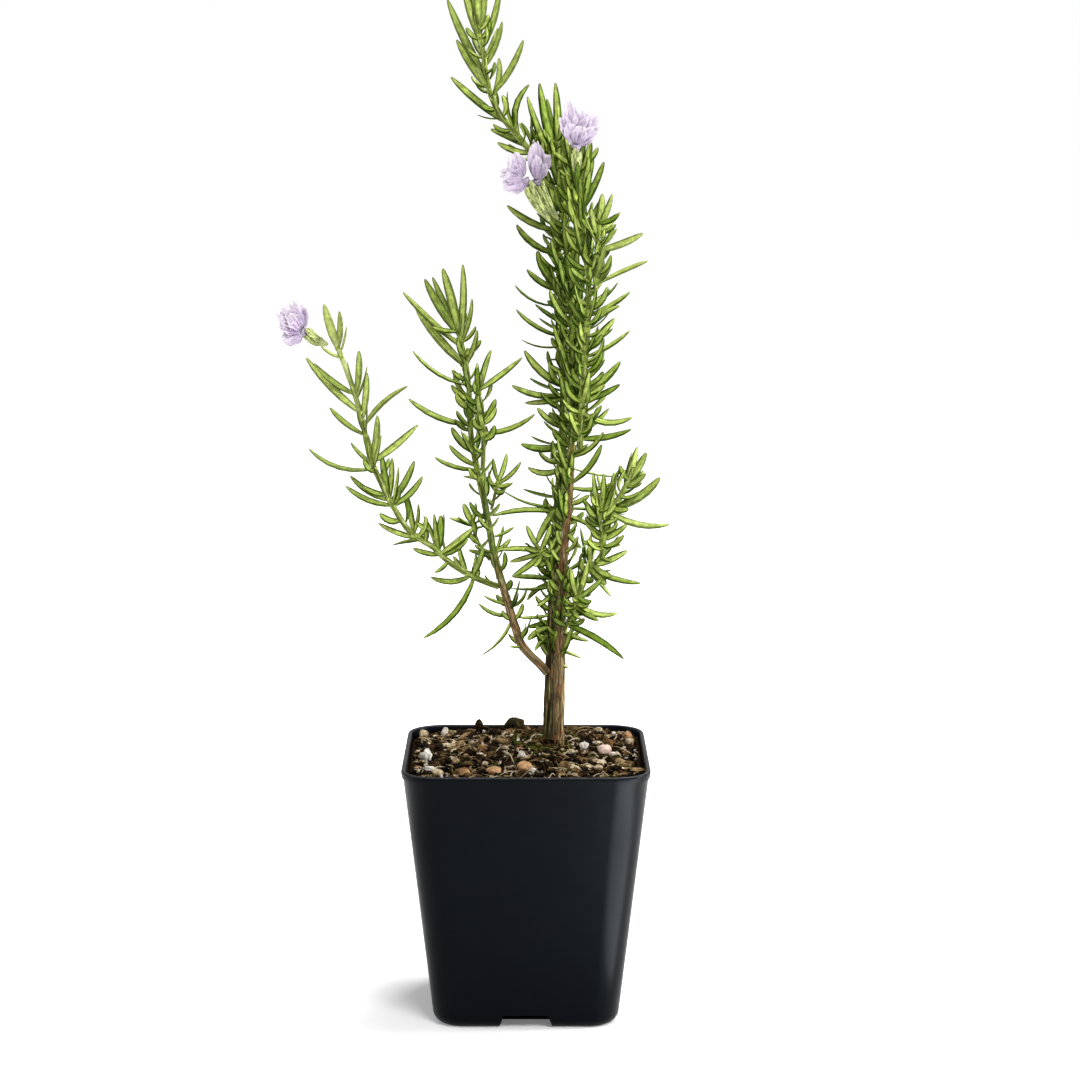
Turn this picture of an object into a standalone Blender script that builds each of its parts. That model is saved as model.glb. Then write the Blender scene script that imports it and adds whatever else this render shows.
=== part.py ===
"""Potted rosemary: a square nursery pot, potting mix, two rooted stems with their side shoots,
groups of needle leaves, flowers with their calyces, and the stones that lie on the mix.

Frame: +Z up, X to the right, Y to the back, origin at the middle of the pot's underside.
Every length in this file is in millimetres; MM turns it into Blender's metres.
"""
import math
import random
from collections import namedtuple

import bmesh
import bpy
import numpy as np
from mathutils import Matrix, Vector

MM = 0.001
GAP = 0.3                 # clearance between neighbouring pieces

# Pot: a thin tapered square shell with rounded corners and four drain notches in its foot.
POT_HEIGHT = 95.0
POT_TOP_HALF = 44.0       # half the outside width of the wall at the rim
POT_BASE_HALF = 33.2      # half the outside width at the foot
POT_TOP_CORNER = 13.0     # plan radius of the corners at the rim
POT_BASE_CORNER = 10.0
POT_WALL = 1.2
POT_FLOOR = 1.6
FLOOR_ROUND = 3.0         # radius between the cavity's wall and its floor
FOOT_ROUND = 4.0          # radius between the wall and the underside
RIM_LIP = 0.5             # how far the rim bead stands out
RIM_BAND = 2.6            # height of the rim bead
RIM_SLOPE = 0.8           # height over which the bead runs out into the wall
RIM_EDGE = 0.5            # bevel on the rim's two edges
CORNER_STEPS = 4
NOTCH_LOW = 10.0          # half width of a drain notch at the floor
NOTCH_HIGH = 8.0          # half width at its top
NOTCH_HEIGHT = 5.0
NOTCH_DEPTH = 11.0
NOTCH_SKIN = 1.3          # plastic over and behind a notch
CUTTER_REACH = 5.0        # how far a cutter stands out of the wall that it cuts

# Potting mix: a plug that fills the pot and rises towards the stems.
MIX_EDGE = 90.6           # height of the mix at the pot's wall
MIX_MOUND = 4.6           # how much higher it is beside the stems
MOUND_MIDDLE = (8.0, 9.0)
MOUND_SPREAD = 26.0
MIX_RINGS = 7
MIX_LAYERS = (30.0, 60.0)  # heights of the sections between the floor and the crust

# Plant
TUBE_STEP = 8.0           # longest spacing of the sections along a stem
SLEEVE = 0.45             # thickness of the leaf bases that clasp a stem
LEAF_FLATNESS = 0.62      # leaf thickness over leaf width
LEAF_SIDES = 3            # flat above, with the two rolled edges meeting below
LEAF_SECTIONS = 4
DEPTH_TRIES = (0.0, 2.5, -2.5, 5.0, -5.0, 7.5, -7.5, 10.0, -10.0)
SHEET_DEPTH = 6.0         # the upright sheet on which the plant's outline is laid out
EYE_DEPTH = -1025.0       # seen from here, a shoot that leans forward or back keeps that outline
EYE_HEIGHT = 328.0
PAIR_STEP = 12.0          # spacing of the leaf pairs that point forward and back
PAIR_REACH = (9.0, 13.0)  # how far such a leaf reaches, least and most
PAIR_RISE = (8.0, 13.0)
PAIR_DRIFT = 5.0          # how far it strays to the left or the right
PAIR_WIDTH = (1.7, 2.3)

# Flowers
CALYX_RADII = (0.9, 2.1)  # at the foot and at the mouth
TUBE_RADII = (1.3, 1.8)
# Core and lips of a corolla of size 1: offset from the throat, semi-axes and pitch in degrees.
# The axes run along the flower, to its side and towards its upper lip.
CORE = ((0.4, 0.1, 0.1), (1.8, 2.3, 2.5), 3)
UPPER_LIP = ((1.1, -0.1, 3.6), (1.5, 3.4, 3.9), -20)
LOWER_LIP = ((2.6, 0.1, -2.6), (3.4, 3.5, 1.6), 24)
LIP_SPACE = ((-2.6, 0.0, 3.4), 4.0)  # heights above the throat, and radius, kept free of leaves

BLACK_PLASTIC = ((0.020, 0.023, 0.027), 0.42)
DARK_MIX = ((0.060, 0.040, 0.024), 0.95)
BARK = ((0.215, 0.135, 0.070), 0.85)
GREEN_BARK = ((0.180, 0.215, 0.065), 0.70)
LEAF_GREEN = ((0.125, 0.240, 0.030), 0.50)
CALYX_GREEN = ((0.420, 0.500, 0.180), 0.75)
LILAC = ((0.560, 0.480, 0.680), 0.60)
TAN_STONE = ((0.520, 0.270, 0.100), 0.70)
PALE_STONE = ((0.600, 0.540, 0.480), 0.80)
MOSS = ((0.110, 0.120, 0.040), 0.95)

Leaf = namedtuple("Leaf", "base_z tip_x tip_z bow width depth")

# Each stem: its course as (x, depth, z), with x and z as on the sheet, its radius at the low end
# and at the high end, and its finish.  A side shoot starts just clear of the stem that bears it.
STEMS = {
    "main_stem": (
        [(12.2, 5.0, 62), (12.2, 5.0, 86), (12.2, 5.0, 105), (12.6, 5.1, 130), (13.2, 5.4, 152),
         (13.9, 5.8, 170), (15.3, 6.2, 184), (16.2, 6.6, 200), (16.7, 7.2, 214), (17.0, 8.2, 228),
         (16.8, 9.5, 243), (16.2, 11.0, 258), (15.0, 12.2, 273), (13.6, 13.0, 288),
         (12.2, 13.4, 302), (10.6, 13.4, 316)], 2.1, 0.8, BARK),
    "arching_stem": (
        [(8.2, 10.4, 62), (8.2, 10.4, 86), (8.3, 10.6, 105), (9.2, 11.2, 130), (9.9, 12.0, 150),
         (10.8, 13.0, 168), (11.8, 13.8, 185), (12.8, 14.6, 200), (13.6, 15.4, 215),
         (13.8, 16.2, 230), (13.6, 17.2, 245), (12.8, 18.2, 260), (11.6, 19.0, 275),
         (10.2, 19.0, 291), (7.6, 17.6, 302), (2.4, 15.2, 311), (-5.0, 11.6, 320),
         (-9.4, 9.0, 325.5), (-12.4, 6.4, 332), (-14.2, 3.6, 339), (-15.0, 1.0, 346),
         (-16.4, -1.4, 353), (-17.6, -3.6, 360)], 1.9, 0.75, GREEN_BARK),
    "flower_stem": (
        [(19.6, 3.6, 207), (20.0, 1.0, 217), (20.6, -2.0, 228), (21.5, -4.6, 240),
         (22.3, -6.6, 251), (22.6, -7.8, 261), (22.1, -8.0, 270), (20.9, -7.2, 280),
         (19.4, -6.0, 292), (18.4, -5.0, 303), (17.8, -4.4, 312)], 1.2, 0.8, GREEN_BARK),
    "right_sprig": (
        [(25.0, -9.6, 264.6), (25.3, -11.4, 272), (25.7, -13.4, 280), (26.4, -15.2, 288)],
        0.8, 0.6, GREEN_BARK),
    "left_stem": (
        [(5.0, 8.0, 126.2), (3.0, 6.8, 128.6), (0.0, 6.2, 131.2), (-2.1, 6.4, 134.2),
         (-3.6, 7.2, 138.8), (-5.0, 8.2, 143), (-6.1, 9.2, 147), (-7.6, 10.4, 152),
         (-9.0, 11.6, 157), (-10.4, 12.8, 162), (-11.9, 14.2, 168), (-12.9, 15.6, 174),
         (-14.0, 16.8, 180), (-15.2, 17.8, 186.5), (-16.8, 18.8, 193.5), (-18.3, 19.6, 201),
         (-19.6, 20.2, 208), (-20.3, 20.6, 216), (-20.5, 20.6, 225), (-21.0, 20.2, 232),
         (-22.4, 19.4, 240), (-24.4, 18.4, 248)], 1.55, 0.75, BARK),
    "left_fork": (
        [(-15.6, 16.0, 199), (-15.4, 12.4, 206), (-15.6, 9.0, 213), (-16.8, 6.0, 220),
         (-16.9, 3.4, 227), (-16.0, 1.6, 232)], 0.85, 0.65, GREEN_BARK),
    "left_twig": (
        [(-12.2, 14.6, 184.5), (-11.2, 11.6, 189), (-10.2, 8.6, 194)], 0.6, 0.5, GREEN_BARK),
    "far_left_stem": (
        [(-11.4, 8.0, 155.2), (-16.8, 5.0, 157.2), (-21.4, 2.0, 159.5), (-26.0, -1.2, 162.3),
         (-30.2, -4.2, 165.7), (-33.8, -7.0, 169.2), (-38.6, -10.0, 172.2), (-42.6, -12.4, 175.4),
         (-45.4, -14.2, 179.4), (-47.8, -15.8, 183.4), (-50.2, -17.2, 187.8),
         (-52.3, -18.4, 192.2), (-54.6, -19.4, 197.2), (-56.6, -20.2, 202.4),
         (-57.8, -20.8, 208.2), (-58.9, -21.0, 214.2), (-60.4, -21.0, 220.2),
         (-62.3, -20.6, 226.7), (-64.4, -20.0, 232.8), (-66.4, -19.2, 238.2),
         (-68.4, -18.2, 243.2), (-69.8, -17.4, 246.6)], 0.95, 0.75, GREEN_BARK),
    "left_spur": (
        [(-14.0, 16.4, 165.8), (-16.4, 19.4, 169.2), (-18.3, 22.2, 173.4), (-19.6, 24.4, 178.4)],
        0.7, 0.6, GREEN_BARK),
    "right_low_stem": (
        [(16.4, 3.2, 154), (18.6, 0.2, 157.4), (22.0, -3.8, 161), (25.6, -7.4, 163.8),
         (27.9, -10.0, 167.6), (28.3, -12.0, 173), (28.9, -13.6, 179), (31.0, -15.2, 184),
         (34.2, -16.8, 188.4), (37.2, -18.2, 193.4), (39.0, -19.4, 198.6)], 1.0, 0.7, GREEN_BARK),
    "right_spur": (
        [(27.2, -15.0, 177), (26.9, -17.8, 183), (26.5, -20.4, 189)], 0.65, 0.55, GREEN_BARK),
    "inner_left_shoot": (
        [(8.6, 8.0, 163.6), (6.8, 3.0, 166), (5.2, -3.0, 168.4), (4.0, -9.0, 170.4)],
        0.75, 0.6, GREEN_BARK),
    "inner_right_shoot": (
        [(14.8, 2.0, 139.6), (16.8, -3.0, 145), (18.8, -8.0, 150.4), (20.4, -12.6, 155)],
        0.75, 0.6, GREEN_BARK),
}

# Stretches of stem, as heights, that also bear leaf pairs pointing forward and back, and the set
# that each stretch's pairs belong to.
PAIRS = (
    ("main_leaves_low", 128, 142), ("main_leaves_middle", 178, 201), ("main_leaves_upper", 217, 275),
    ("crown_tuft", 289, 306), ("arching_leaves_low", 130, 157), ("arching_leaves_cross", 182, 205),
    ("arching_leaves_fan", 212, 235), ("arching_leaves_upper", 243, 284),
    ("arching_leaves_spread", 312, 322), ("arching_tuft", 333, 353),
    ("flower_leaves_low", 210, 230), ("flower_leaves_middle", 240, 255), ("flower_tuft", 273, 300),
    ("right_sprig_leaves", 268, 284), ("left_leaves_low", 134, 147), ("left_leaves_middle", 165, 202),
    ("left_leaves_wing", 213, 226), ("left_tuft", 234, 246), ("left_fork_leaves", 212, 226),
    ("far_left_leaves_low", 159, 161), ("far_left_leaves_bend", 169, 176),
    ("far_left_leaves_middle", 188, 190), ("far_left_leaves_upper", 202, 228),
    ("right_low_leaves", 164, 176), ("right_low_tuft", 186, 195),
)

# Leaves of each set: height of the base on the stem, the tip's x and z, how far the middle bows
# outwards and down from the straight line, the width, and the tip's depth in front of the stem (-)
# or behind it (+).
LEAF_SETS = {
    "main_leaves_low": ("main_stem", [
        (141.5, 36.2, 127.4, -1.6, 2.2, -5), (138.5, 23.3, 134.4, 0.3, 2.6, -4),
        (131, 20.6, 127.8, -0.5, 1.5, -3), (126.5, 15.6, 124.6, 0.2, 1.4, -2),
        (134, 19.0, 141.0, 0.6, 1.8, 7), (140, 14.0, 152.0, 0.4, 1.8, -7)]),
    "main_leaves_middle": ("main_stem", [
        (176, 20.3, 168.8, 0.4, 1.8, -3), (181, 24.8, 176.2, -0.5, 1.6, -4),
        (183.5, 36.8, 181.0, -0.8, 2.0, -9), (186, 20.2, 189.4, 0.3, 1.4, 4),
        (179, 12.0, 189.0, 0.6, 1.8, -6),
        (191.5, 31.8, 193.2, 1.8, 2.0, -4), (192.5, 27.6, 207.2, 1.6, 2.2, -6),
        (198.5, 35.2, 195.2, 0.9, 1.8, 3), (196, 11.5, 209.0, 0.8, 1.8, -8),
        (202.5, 28.2, 211.8, 1.8, 2.2, -9)]),
    "main_leaves_upper": ("main_stem", [
        (217, 12.6, 232.0, 0.6, 2.2, -8), (218, 21.0, 233.0, 0.6, 2.0, -9),
        (227, 12.9, 243.2, 0.5, 2.6, -6), (228, 19.4, 244.0, 0.4, 2.2, -7),
        (236, 10.2, 250.0, 1.2, 2.2, -8), (237, 17.0, 254.0, 0.4, 2.0, -9),
        (229, 20.0, 246.0, 0.3, 2.0, 8),
        (250, 8.5, 263.0, 1.2, 2.4, -9), (251, 20.0, 266.0, 0.6, 2.2, -8),
        (258, 12.0, 274.0, 0.6, 2.4, -9), (259, 18.6, 277.0, 0.3, 2.2, -8),
        (266, 9.0, 281.0, 1.0, 2.2, -7), (267, 18.0, 284.0, 0.3, 2.2, -7),
        (274, 14.2, 292.0, 0.4, 2.2, -8), (275, 9.2, 291.0, 0.6, 2.0, 6)]),
    "crown_tuft": ("main_stem", [
        (288, 11.6, 307.0, 0.3, 2.2, -6), (290, 15.6, 312.0, 0.3, 2.2, -4),
        (296, 13.2, 318.0, 0.2, 2.2, -4), (298, 7.8, 315.0, 0.5, 2.0, -5),
        (302, 1.4, 321.4, 0.4, 2.2, 3), (304, 0.4, 332.0, 0.9, 2.4, -2),
        (306, 4.8, 336.8, 0.7, 3.0, -1), (308, 10.4, 336.8, -0.4, 2.6, 1),
        (311, 7.4, 331.0, 0.2, 2.2, 4), (303, 12.6, 322.0, 0.4, 2.2, 4)]),
    "arching_leaves_low": ("arching_stem", [
        (127.5, 5.2, 134.0, 0.3, 1.6, -4), (128.5, 7.6, 137.0, 0.2, 1.6, -8),
        (136.5, 3.2, 130.6, -0.9, 2.2, -6), (139, 0.5, 134.8, -0.9, 2.6, -4),
        (141.5, 0.2, 139.6, 0.4, 1.8, 2), (143.5, -3.2, 143.4, 0.6, 1.6, -2),
        (145, 4.2, 151.0, 1.4, 1.6, 3), (133, 4.6, 141.5, 0.6, 1.8, 6),
        (152.5, 3.8, 147.4, 0.8, 1.6, -5), (154, -6.2, 154.2, 0.8, 2.0, -3),
        (155, 0.4, 149.4, -1.6, 1.8, 3), (156.5, -5.4, 158.4, -0.5, 2.0, 3),
        (158, 4.6, 161.0, 0.3, 1.6, -6), (155.5, 16.0, 163.0, 0.6, 1.8, 6)]),
    "arching_leaves_cross": ("arching_stem", [
        (181, -12.8, 180.6, -1.8, 2.0, -3), (183, -9.6, 191.0, 2.0, 1.9, 1),
        (183.5, 3.6, 169.8, -0.9, 2.6, -9), (186.5, -1.2, 190.7, 0.4, 2.0, 5),
        (180, 6.5, 190.0, 0.8, 1.8, 8),
        (197, 0.5, 198.6, 1.9, 2.0, -2), (199.5, 4.5, 205.2, 1.7, 2.2, 3),
        (205.5, -2.0, 207.2, 1.4, 2.6, -1), (206, 1.8, 210.0, 0.9, 1.5, 5)]),
    "arching_leaves_fan": ("arching_stem", [
        (212, 4.0, 220.4, 0.8, 2.2, -2), (213, 9.3, 218.6, 0.3, 1.8, -7),
        (222.5, -0.6, 222.0, 0.3, 1.8, 3), (224, -5.4, 228.6, 1.8, 2.3, -1),
        (225.5, 1.2, 231.2, 0.8, 2.0, 4), (227, -0.7, 241.3, 1.5, 2.7, -3),
        (236.5, 7.8, 237.6, -0.3, 1.5, -3)]),
    "arching_leaves_upper": ("arching_stem", [
        (242, -2.0, 245.2, 1.7, 2.0, -2), (245, -3.7, 256.0, 1.6, 2.2, -4),
        (247, 4.6, 252.8, 0.4, 1.5, 5), (250, 3.2, 257.8, 0.2, 1.6, 2),
        (256.5, -4.1, 264.8, 2.6, 2.2, -2), (262, 0.2, 270.4, 1.2, 2.4, 2),
        (262.5, 4.0, 277.0, 1.3, 3.0, -3),
        (275, -3.5, 286.4, 2.0, 2.8, -3), (278, 5.8, 282.2, -0.8, 1.5, 3),
        (283.5, -7.0, 293.2, 1.5, 2.2, -2), (285, 3.8, 290.4, 0.4, 2.2, 4)]),
    "arching_leaves_spread": ("arching_stem", [
        (311.5, -10.3, 315.4, 1.0, 2.0, -3), (314, -12.8, 320.0, -0.6, 2.3, 2),
        (317.5, -6.5, 333.6, 1.6, 2.0, 1), (316.5, 1.5, 336.0, -3.6, 2.0, 3),
        (322.5, -27.0, 338.7, 0.6, 2.4, -2)]),
    "arching_tuft": ("arching_stem", [
        (331, -9.7, 345.3, 1.2, 2.0, 3), (332, -0.8, 351.7, 1.2, 2.3, -2),
        (334, -24.8, 351.8, 0.6, 2.5, -2), (337, -28.0, 366.0, 0.8, 2.6, 2),
        (342, -8.4, 358.0, 0.8, 2.0, -1),
        (348.5, -9.2, 369.5, 0.9, 2.2, 1), (351, -22.2, 369.6, 0.3, 2.4, -1),
        (354, -19.8, 374.2, 0.0, 2.4, 2), (356, -17.2, 377.0, 0.0, 2.4, -2),
        (353, -14.4, 372.6, 0.3, 2.2, -2)]),
    "flower_leaves_low": ("flower_stem", [
        (209.5, 38.4, 212.6, 1.2, 2.2, -3), (212, 30.2, 220.2, 0.9, 1.8, 3),
        (219.5, 38.8, 217.0, 3.0, 2.2, 1), (223.5, 34.2, 228.9, 0.8, 2.0, -3),
        (226, 34.2, 237.4, 1.0, 3.0, 2), (230.5, 28.6, 237.9, 0.3, 1.6, -5)]),
    "flower_leaves_middle": ("flower_stem", [
        (239.5, 37.6, 248.4, 0.9, 2.2, -2), (243, 32.2, 252.8, 0.4, 2.3, 2),
        (249.5, 34.0, 257.2, -1.4, 2.2, -3), (254.5, 37.6, 262.3, 0.7, 2.2, 1),
        (256, 33.2, 265.7, 0.6, 1.6, 6), (252, 17.5, 265.0, 0.6, 2.0, -8)]),
    "flower_tuft": ("flower_stem", [
        (272, 17.2, 290.0, 0.4, 2.2, -8), (274, 23.0, 291.0, 0.4, 2.0, -7),
        (282, 14.8, 300.0, 0.5, 2.2, -7), (284, 19.6, 303.0, 0.3, 2.2, -8),
        (291, 28.0, 308.8, 0.4, 2.3, -2), (291, 22.8, 305.2, 0.5, 2.2, -6),
        (294, 24.0, 311.6, 0.5, 2.2, 2), (296, 15.8, 315.0, 0.2, 2.2, -5),
        (299, 23.2, 316.6, 0.6, 2.4, -3), (300, 13.8, 319.0, 0.3, 2.0, -2),
        (303, 20.8, 319.6, 0.2, 2.2, 3), (302, 18.4, 317.0, 0.0, 2.2, -5)]),
    "right_sprig_leaves": ("right_sprig", [
        (265.5, 44.0, 273.3, -0.6, 2.2, -2), (266.5, 30.4, 273.9, 0.6, 2.8, 2),
        (267.5, 27.8, 276.0, 0.3, 1.6, -4),
        (278, 42.2, 283.2, 0.9, 2.3, -2), (279.5, 32.6, 284.9, 0.3, 1.9, 3),
        (285, 34.0, 290.7, 0.6, 2.0, 0), (284, 27.4, 297.4, 0.2, 2.6, 3),
        (286, 31.0, 297.2, 0.5, 2.0, -2), (283, 23.4, 292.0, 0.4, 2.0, -3)]),
    "left_leaves_low": ("left_stem", [
        (132.5, -6.0, 132.4, 0.1, 1.3, -2), (134.5, -0.2, 141.6, 0.6, 1.4, -3),
        (142.6, -17.3, 128.7, 1.9, 2.0, -3), (143.6, -17.3, 148.5, 1.5, 1.8, 2),
        (146.5, 0.2, 154.6, 1.7, 1.7, -3), (147.5, -15.6, 151.4, 0.4, 1.6, -3)]),
    "left_leaves_middle": ("left_stem", [
        (164, -21.2, 168.2, -0.3, 1.7, 3), (163, -7.8, 171.0, 0.5, 1.5, -5),
        (171.5, -4.3, 176.8, 0.5, 1.6, 2), (174.5, -9.8, 180.6, 0.3, 1.5, 6),
        (192.5, -22.9, 195.2, -0.3, 1.7, -3), (196, -33.3, 202.4, 1.2, 1.9, 2),
        (197.5, -28.0, 206.9, 0.9, 1.9, -2), (202.5, -27.0, 213.4, 0.9, 2.5, 2)]),
    "left_leaves_wing": ("left_stem", [
        (212.5, -42.7, 223.8, 2.0, 2.2, -1), (212, -25.2, 219.2, 0.5, 2.7, -4),
        (221.5, -27.1, 228.6, 0.6, 2.0, 3), (227, -41.0, 241.2, 2.3, 2.2, -1)]),
    "left_tuft": ("left_stem", [
        (234, -40.0, 256.6, 0.9, 2.8, 3), (235, -17.5, 248.6, 0.6, 2.2, -2),
        (241, -44.5, 262.4, 0.5, 2.5, -2), (243, -19.4, 259.9, 0.8, 2.0, 3),
        (244, -22.7, 272.4, 0.6, 2.3, -2), (246, -36.5, 267.1, 0.7, 2.8, 1),
        (247, -33.7, 267.8, 0.2, 2.2, 4), (247, -30.0, 270.9, -0.3, 2.9, -2)]),
    "left_fork_leaves": ("left_fork", [
        (210.5, 3.5, 218.2, 1.7, 2.1, -3), (214, -10.9, 223.6, 0.5, 2.3, 2),
        (225.5, -12.4, 241.4, -0.5, 2.0, 2), (227, -1.0, 238.8, 0.3, 2.1, -3)]),
    "left_twig_tuft": ("left_twig", [
        (192.5, -7.0, 203.8, 0.6, 1.6, 2), (192, -1.7, 200.7, 0.9, 1.5, -3),
        (191, -14.3, 195.2, 0.3, 1.5, -4), (193.5, -12.0, 202.0, 0.2, 1.5, -5)]),
    "far_left_leaves_low": ("far_left_stem", [
        (158.6, -38.0, 135.4, 3.0, 2.1, -2), (159.3, -35.0, 158.3, 2.0, 1.9, 2),
        (160.3, -24.5, 170.2, 0.5, 2.0, -2), (158.9, -18.3, 163.6, 0.2, 2.0, -3),
        (160.8, -26.6, 166.0, 0.3, 1.8, 4)]),
    "far_left_leaves_bend": ("far_left_stem", [
        (168.3, -41.3, 168.9, 0.6, 1.8, -3), (169.6, -31.0, 181.2, 0.4, 2.6, 2),
        (169.6, -37.4, 181.0, -0.4, 2.0, -2), (168.6, -19.0, 176.4, 0.4, 2.6, -3),
        (168.0, -21.0, 172.6, 0.8, 2.2, 3),
        (175.2, -54.0, 178.2, 0.9, 1.8, -2), (174.4, -49.2, 169.8, -0.5, 1.7, 3),
        (176.2, -43.2, 188.6, 0.1, 2.0, 2), (176.6, -39.2, 185.4, 0.7, 1.8, -2),
        (175.4, -36.4, 180.6, 1.1, 1.9, -4)]),
    "far_left_leaves_middle": ("far_left_stem", [
        (187.8, -65.6, 191.9, 1.6, 1.9, -2), (189.6, -64.0, 195.7, 1.3, 1.9, 2),
        (190.4, -52.4, 203.8, 0.2, 2.2, -2), (190.0, -48.6, 202.2, 0.2, 2.0, 2),
        (189.0, -40.4, 201.2, 0.9, 2.3, -2), (187.6, -37.4, 195.5, 1.3, 2.0, 2)]),
    "far_left_leaves_upper": ("far_left_stem", [
        (201.4, -79.0, 205.7, 3.3, 2.0, -2), (203.0, -63.5, 207.7, 0.5, 1.4, 3),
        (203.6, -38.8, 214.3, 0.7, 2.2, 1), (203.8, -53.8, 217.8, 0.5, 2.6, -2),
        (213.5, -71.1, 220.5, 0.9, 1.9, -2), (216.5, -42.3, 228.3, -1.8, 2.3, 1),
        (219, -57.4, 233.2, 0.4, 2.1, -2), (221.5, -79.6, 238.8, 1.0, 2.3, 2),
        (227.5, -60.3, 241.2, 0.5, 2.4, 2), (228, -76.6, 236.6, 1.3, 1.9, -4)]),
    "far_left_buds": ("far_left_stem", [
        (240.5, -74.0, 242.8, 0.5, 1.4, 3), (242.0, -64.6, 249.8, 0.3, 1.3, -2),
        (244.0, -72.8, 258.0, 0.3, 2.7, 1), (244.0, -67.2, 255.4, 0.4, 2.7, -1)]),
    "left_spur_tuft": ("left_spur", [
        (174.5, -28.0, 180.1, -0.3, 1.9, -2), (175.5, -22.8, 185.5, 0.2, 2.2, 2),
        (175.5, -18.2, 185.5, 0.1, 2.0, -3), (174.0, -14.9, 177.2, 0.3, 1.6, -4)]),
    "right_low_leaves": ("right_low_stem", [
        (163.2, 42.3, 155.9, 1.0, 2.0, -2), (164.4, 37.2, 168.1, 0.7, 2.2, 2),
        (163.6, 29.4, 155.2, -0.2, 2.8, -4), (162.8, 31.2, 150.8, -0.4, 1.6, 3),
        (163.4, 21.0, 170.0, 0.6, 1.8, 4),
        (172.0, 35.7, 173.8, 0.9, 2.0, -2), (174.6, 37.0, 178.0, 0.5, 1.9, 2),
        (173.0, 20.6, 171.4, 0.4, 1.8, -4), (176.0, 21.4, 178.6, 0.4, 1.8, 3)]),
    "right_low_tuft": ("right_low_stem", [
        (185.4, 52.7, 177.8, 2.4, 2.4, -2), (186.6, 48.9, 195.2, 1.9, 3.1, 1),
        (187.6, 32.1, 197.0, -0.3, 1.7, 3),
        (194.4, 38.5, 204.2, 0.1, 2.3, 2), (195.6, 40.5, 206.2, 0.1, 2.3, -2),
        (195.4, 43.8, 204.1, 0.3, 2.5, 1), (194.0, 43.6, 196.4, 0.4, 2.0, -3)]),
    "right_spur_tuft": ("right_spur", [
        (183.5, 24.4, 197.0, 0.5, 1.9, -2), (184.5, 28.2, 196.6, 0.4, 1.9, -4),
        (183.0, 20.6, 187.2, 0.4, 1.8, -3), (184.0, 31.8, 192.4, 0.7, 1.8, -2)]),
    "inner_left_tuft": ("inner_left_shoot", [
        (169.0, -10.2, 168.2, -0.8, 1.8, -3), (168.0, -5.2, 158.4, 0.6, 2.0, -4),
        (168.5, -6.2, 163.8, 0.3, 1.7, 1), (169.5, 0.2, 177.4, 0.4, 1.8, -5),
        (169.5, 9.2, 177.6, 0.4, 2.0, -6), (168.5, 9.0, 166.0, 0.4, 1.8, -9)]),
    "inner_right_tuft": ("inner_right_shoot", [
        (152.5, 28.0, 157.9, 0.5, 1.9, -2), (151.5, 33.8, 145.0, 2.6, 2.0, 1),
        (149.5, 26.8, 142.0, 0.2, 2.2, -4), (153.0, 16.4, 161.6, 0.5, 1.9, -5),
        (153.5, 22.8, 164.6, 0.4, 2.0, -4), (150.0, 14.2, 150.0, 0.4, 1.8, -7)]),
}

# Flowers: where the calyx starts, which way it points, which way the upper lip turns, the lengths
# of the calyx and of the tube beyond it, and the size of the lips.
Flower = namedtuple("Flower", "name base way up calyx_length tube_length spread")
FLOWERS = (
    Flower("far_left_flower", (-70.6, -19.6, 245.6), (-0.93, -0.05, 0.36), (0, 0, 1), 5.6, 2.4, 1.0),
    Flower("arch_flower_low", (5.4, 3.0, 292.2), (-0.56, -0.05, 0.83), (-0.3, 0, 1), 7.6, 3.0, 1.0),
    Flower("arch_flower_high", (7.8, 9.2, 293.4), (-0.34, 0.05, 0.94), (0.1, 0.4, 1), 8.0, 3.0, 0.9),
    Flower("crown_flower", (18.4, -11.6, 306.4), (0.02, -0.10, 0.99), (-1, 0, 0.5), 6.4, 2.6, 1.2),
)

# Lumps lying on the mix: x, y, semi-axes and finish.
LUMPS = {
    "clod": (-17.0, 30.0, (2.0, 1.8, 2.2), DARK_MIX),
    "moss_lump": (-4.4, 31.0, (3.6, 2.6, 2.2), MOSS),
    "tan_pebble": (-0.6, -24.0, (2.9, 2.4, 1.9), TAN_STONE),
    "long_pebble": (-13.8, -25.0, (3.2, 1.9, 1.4), TAN_STONE),
    "rose_pebble": (27.8, -6.0, (3.0, 2.4, 1.9), PALE_STONE),
    "white_chip": (-36.0, -4.0, (2.8, 1.8, 2.0), PALE_STONE),
}


def new_collection(name):
    """A collection linked under the scene."""
    collection = bpy.data.collections.new(name)
    bpy.context.scene.collection.children.link(collection)
    return collection


def clear_scene():
    """Remove every object that the file starts with."""
    for obj in list(bpy.data.objects):
        bpy.data.objects.remove(obj, do_unlink=True)


def finish(name, look):
    """A Principled material of one colour and roughness."""
    material = bpy.data.materials.get(name) or bpy.data.materials.new(name)
    material.use_nodes = True
    colour, roughness = look
    shader = material.node_tree.nodes["Principled BSDF"]
    shader.inputs["Base Color"].default_value = (*colour, 1.0)
    shader.inputs["Roughness"].default_value = roughness
    shader.inputs["Metallic"].default_value = 0.0
    return material


def add_mesh(name, bm, look, collection):
    """Turn a bmesh in millimetres into an object in metres."""
    bmesh.ops.scale(bm, vec=Vector((MM, MM, MM)), verts=bm.verts)
    bmesh.ops.recalc_face_normals(bm, faces=bm.faces)
    mesh = bpy.data.meshes.new(name)
    bm.to_mesh(mesh)
    bm.free()
    obj = bpy.data.objects.new(name, mesh)
    obj.data.materials.append(finish(name, look))
    collection.objects.link(obj)
    return obj


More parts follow.
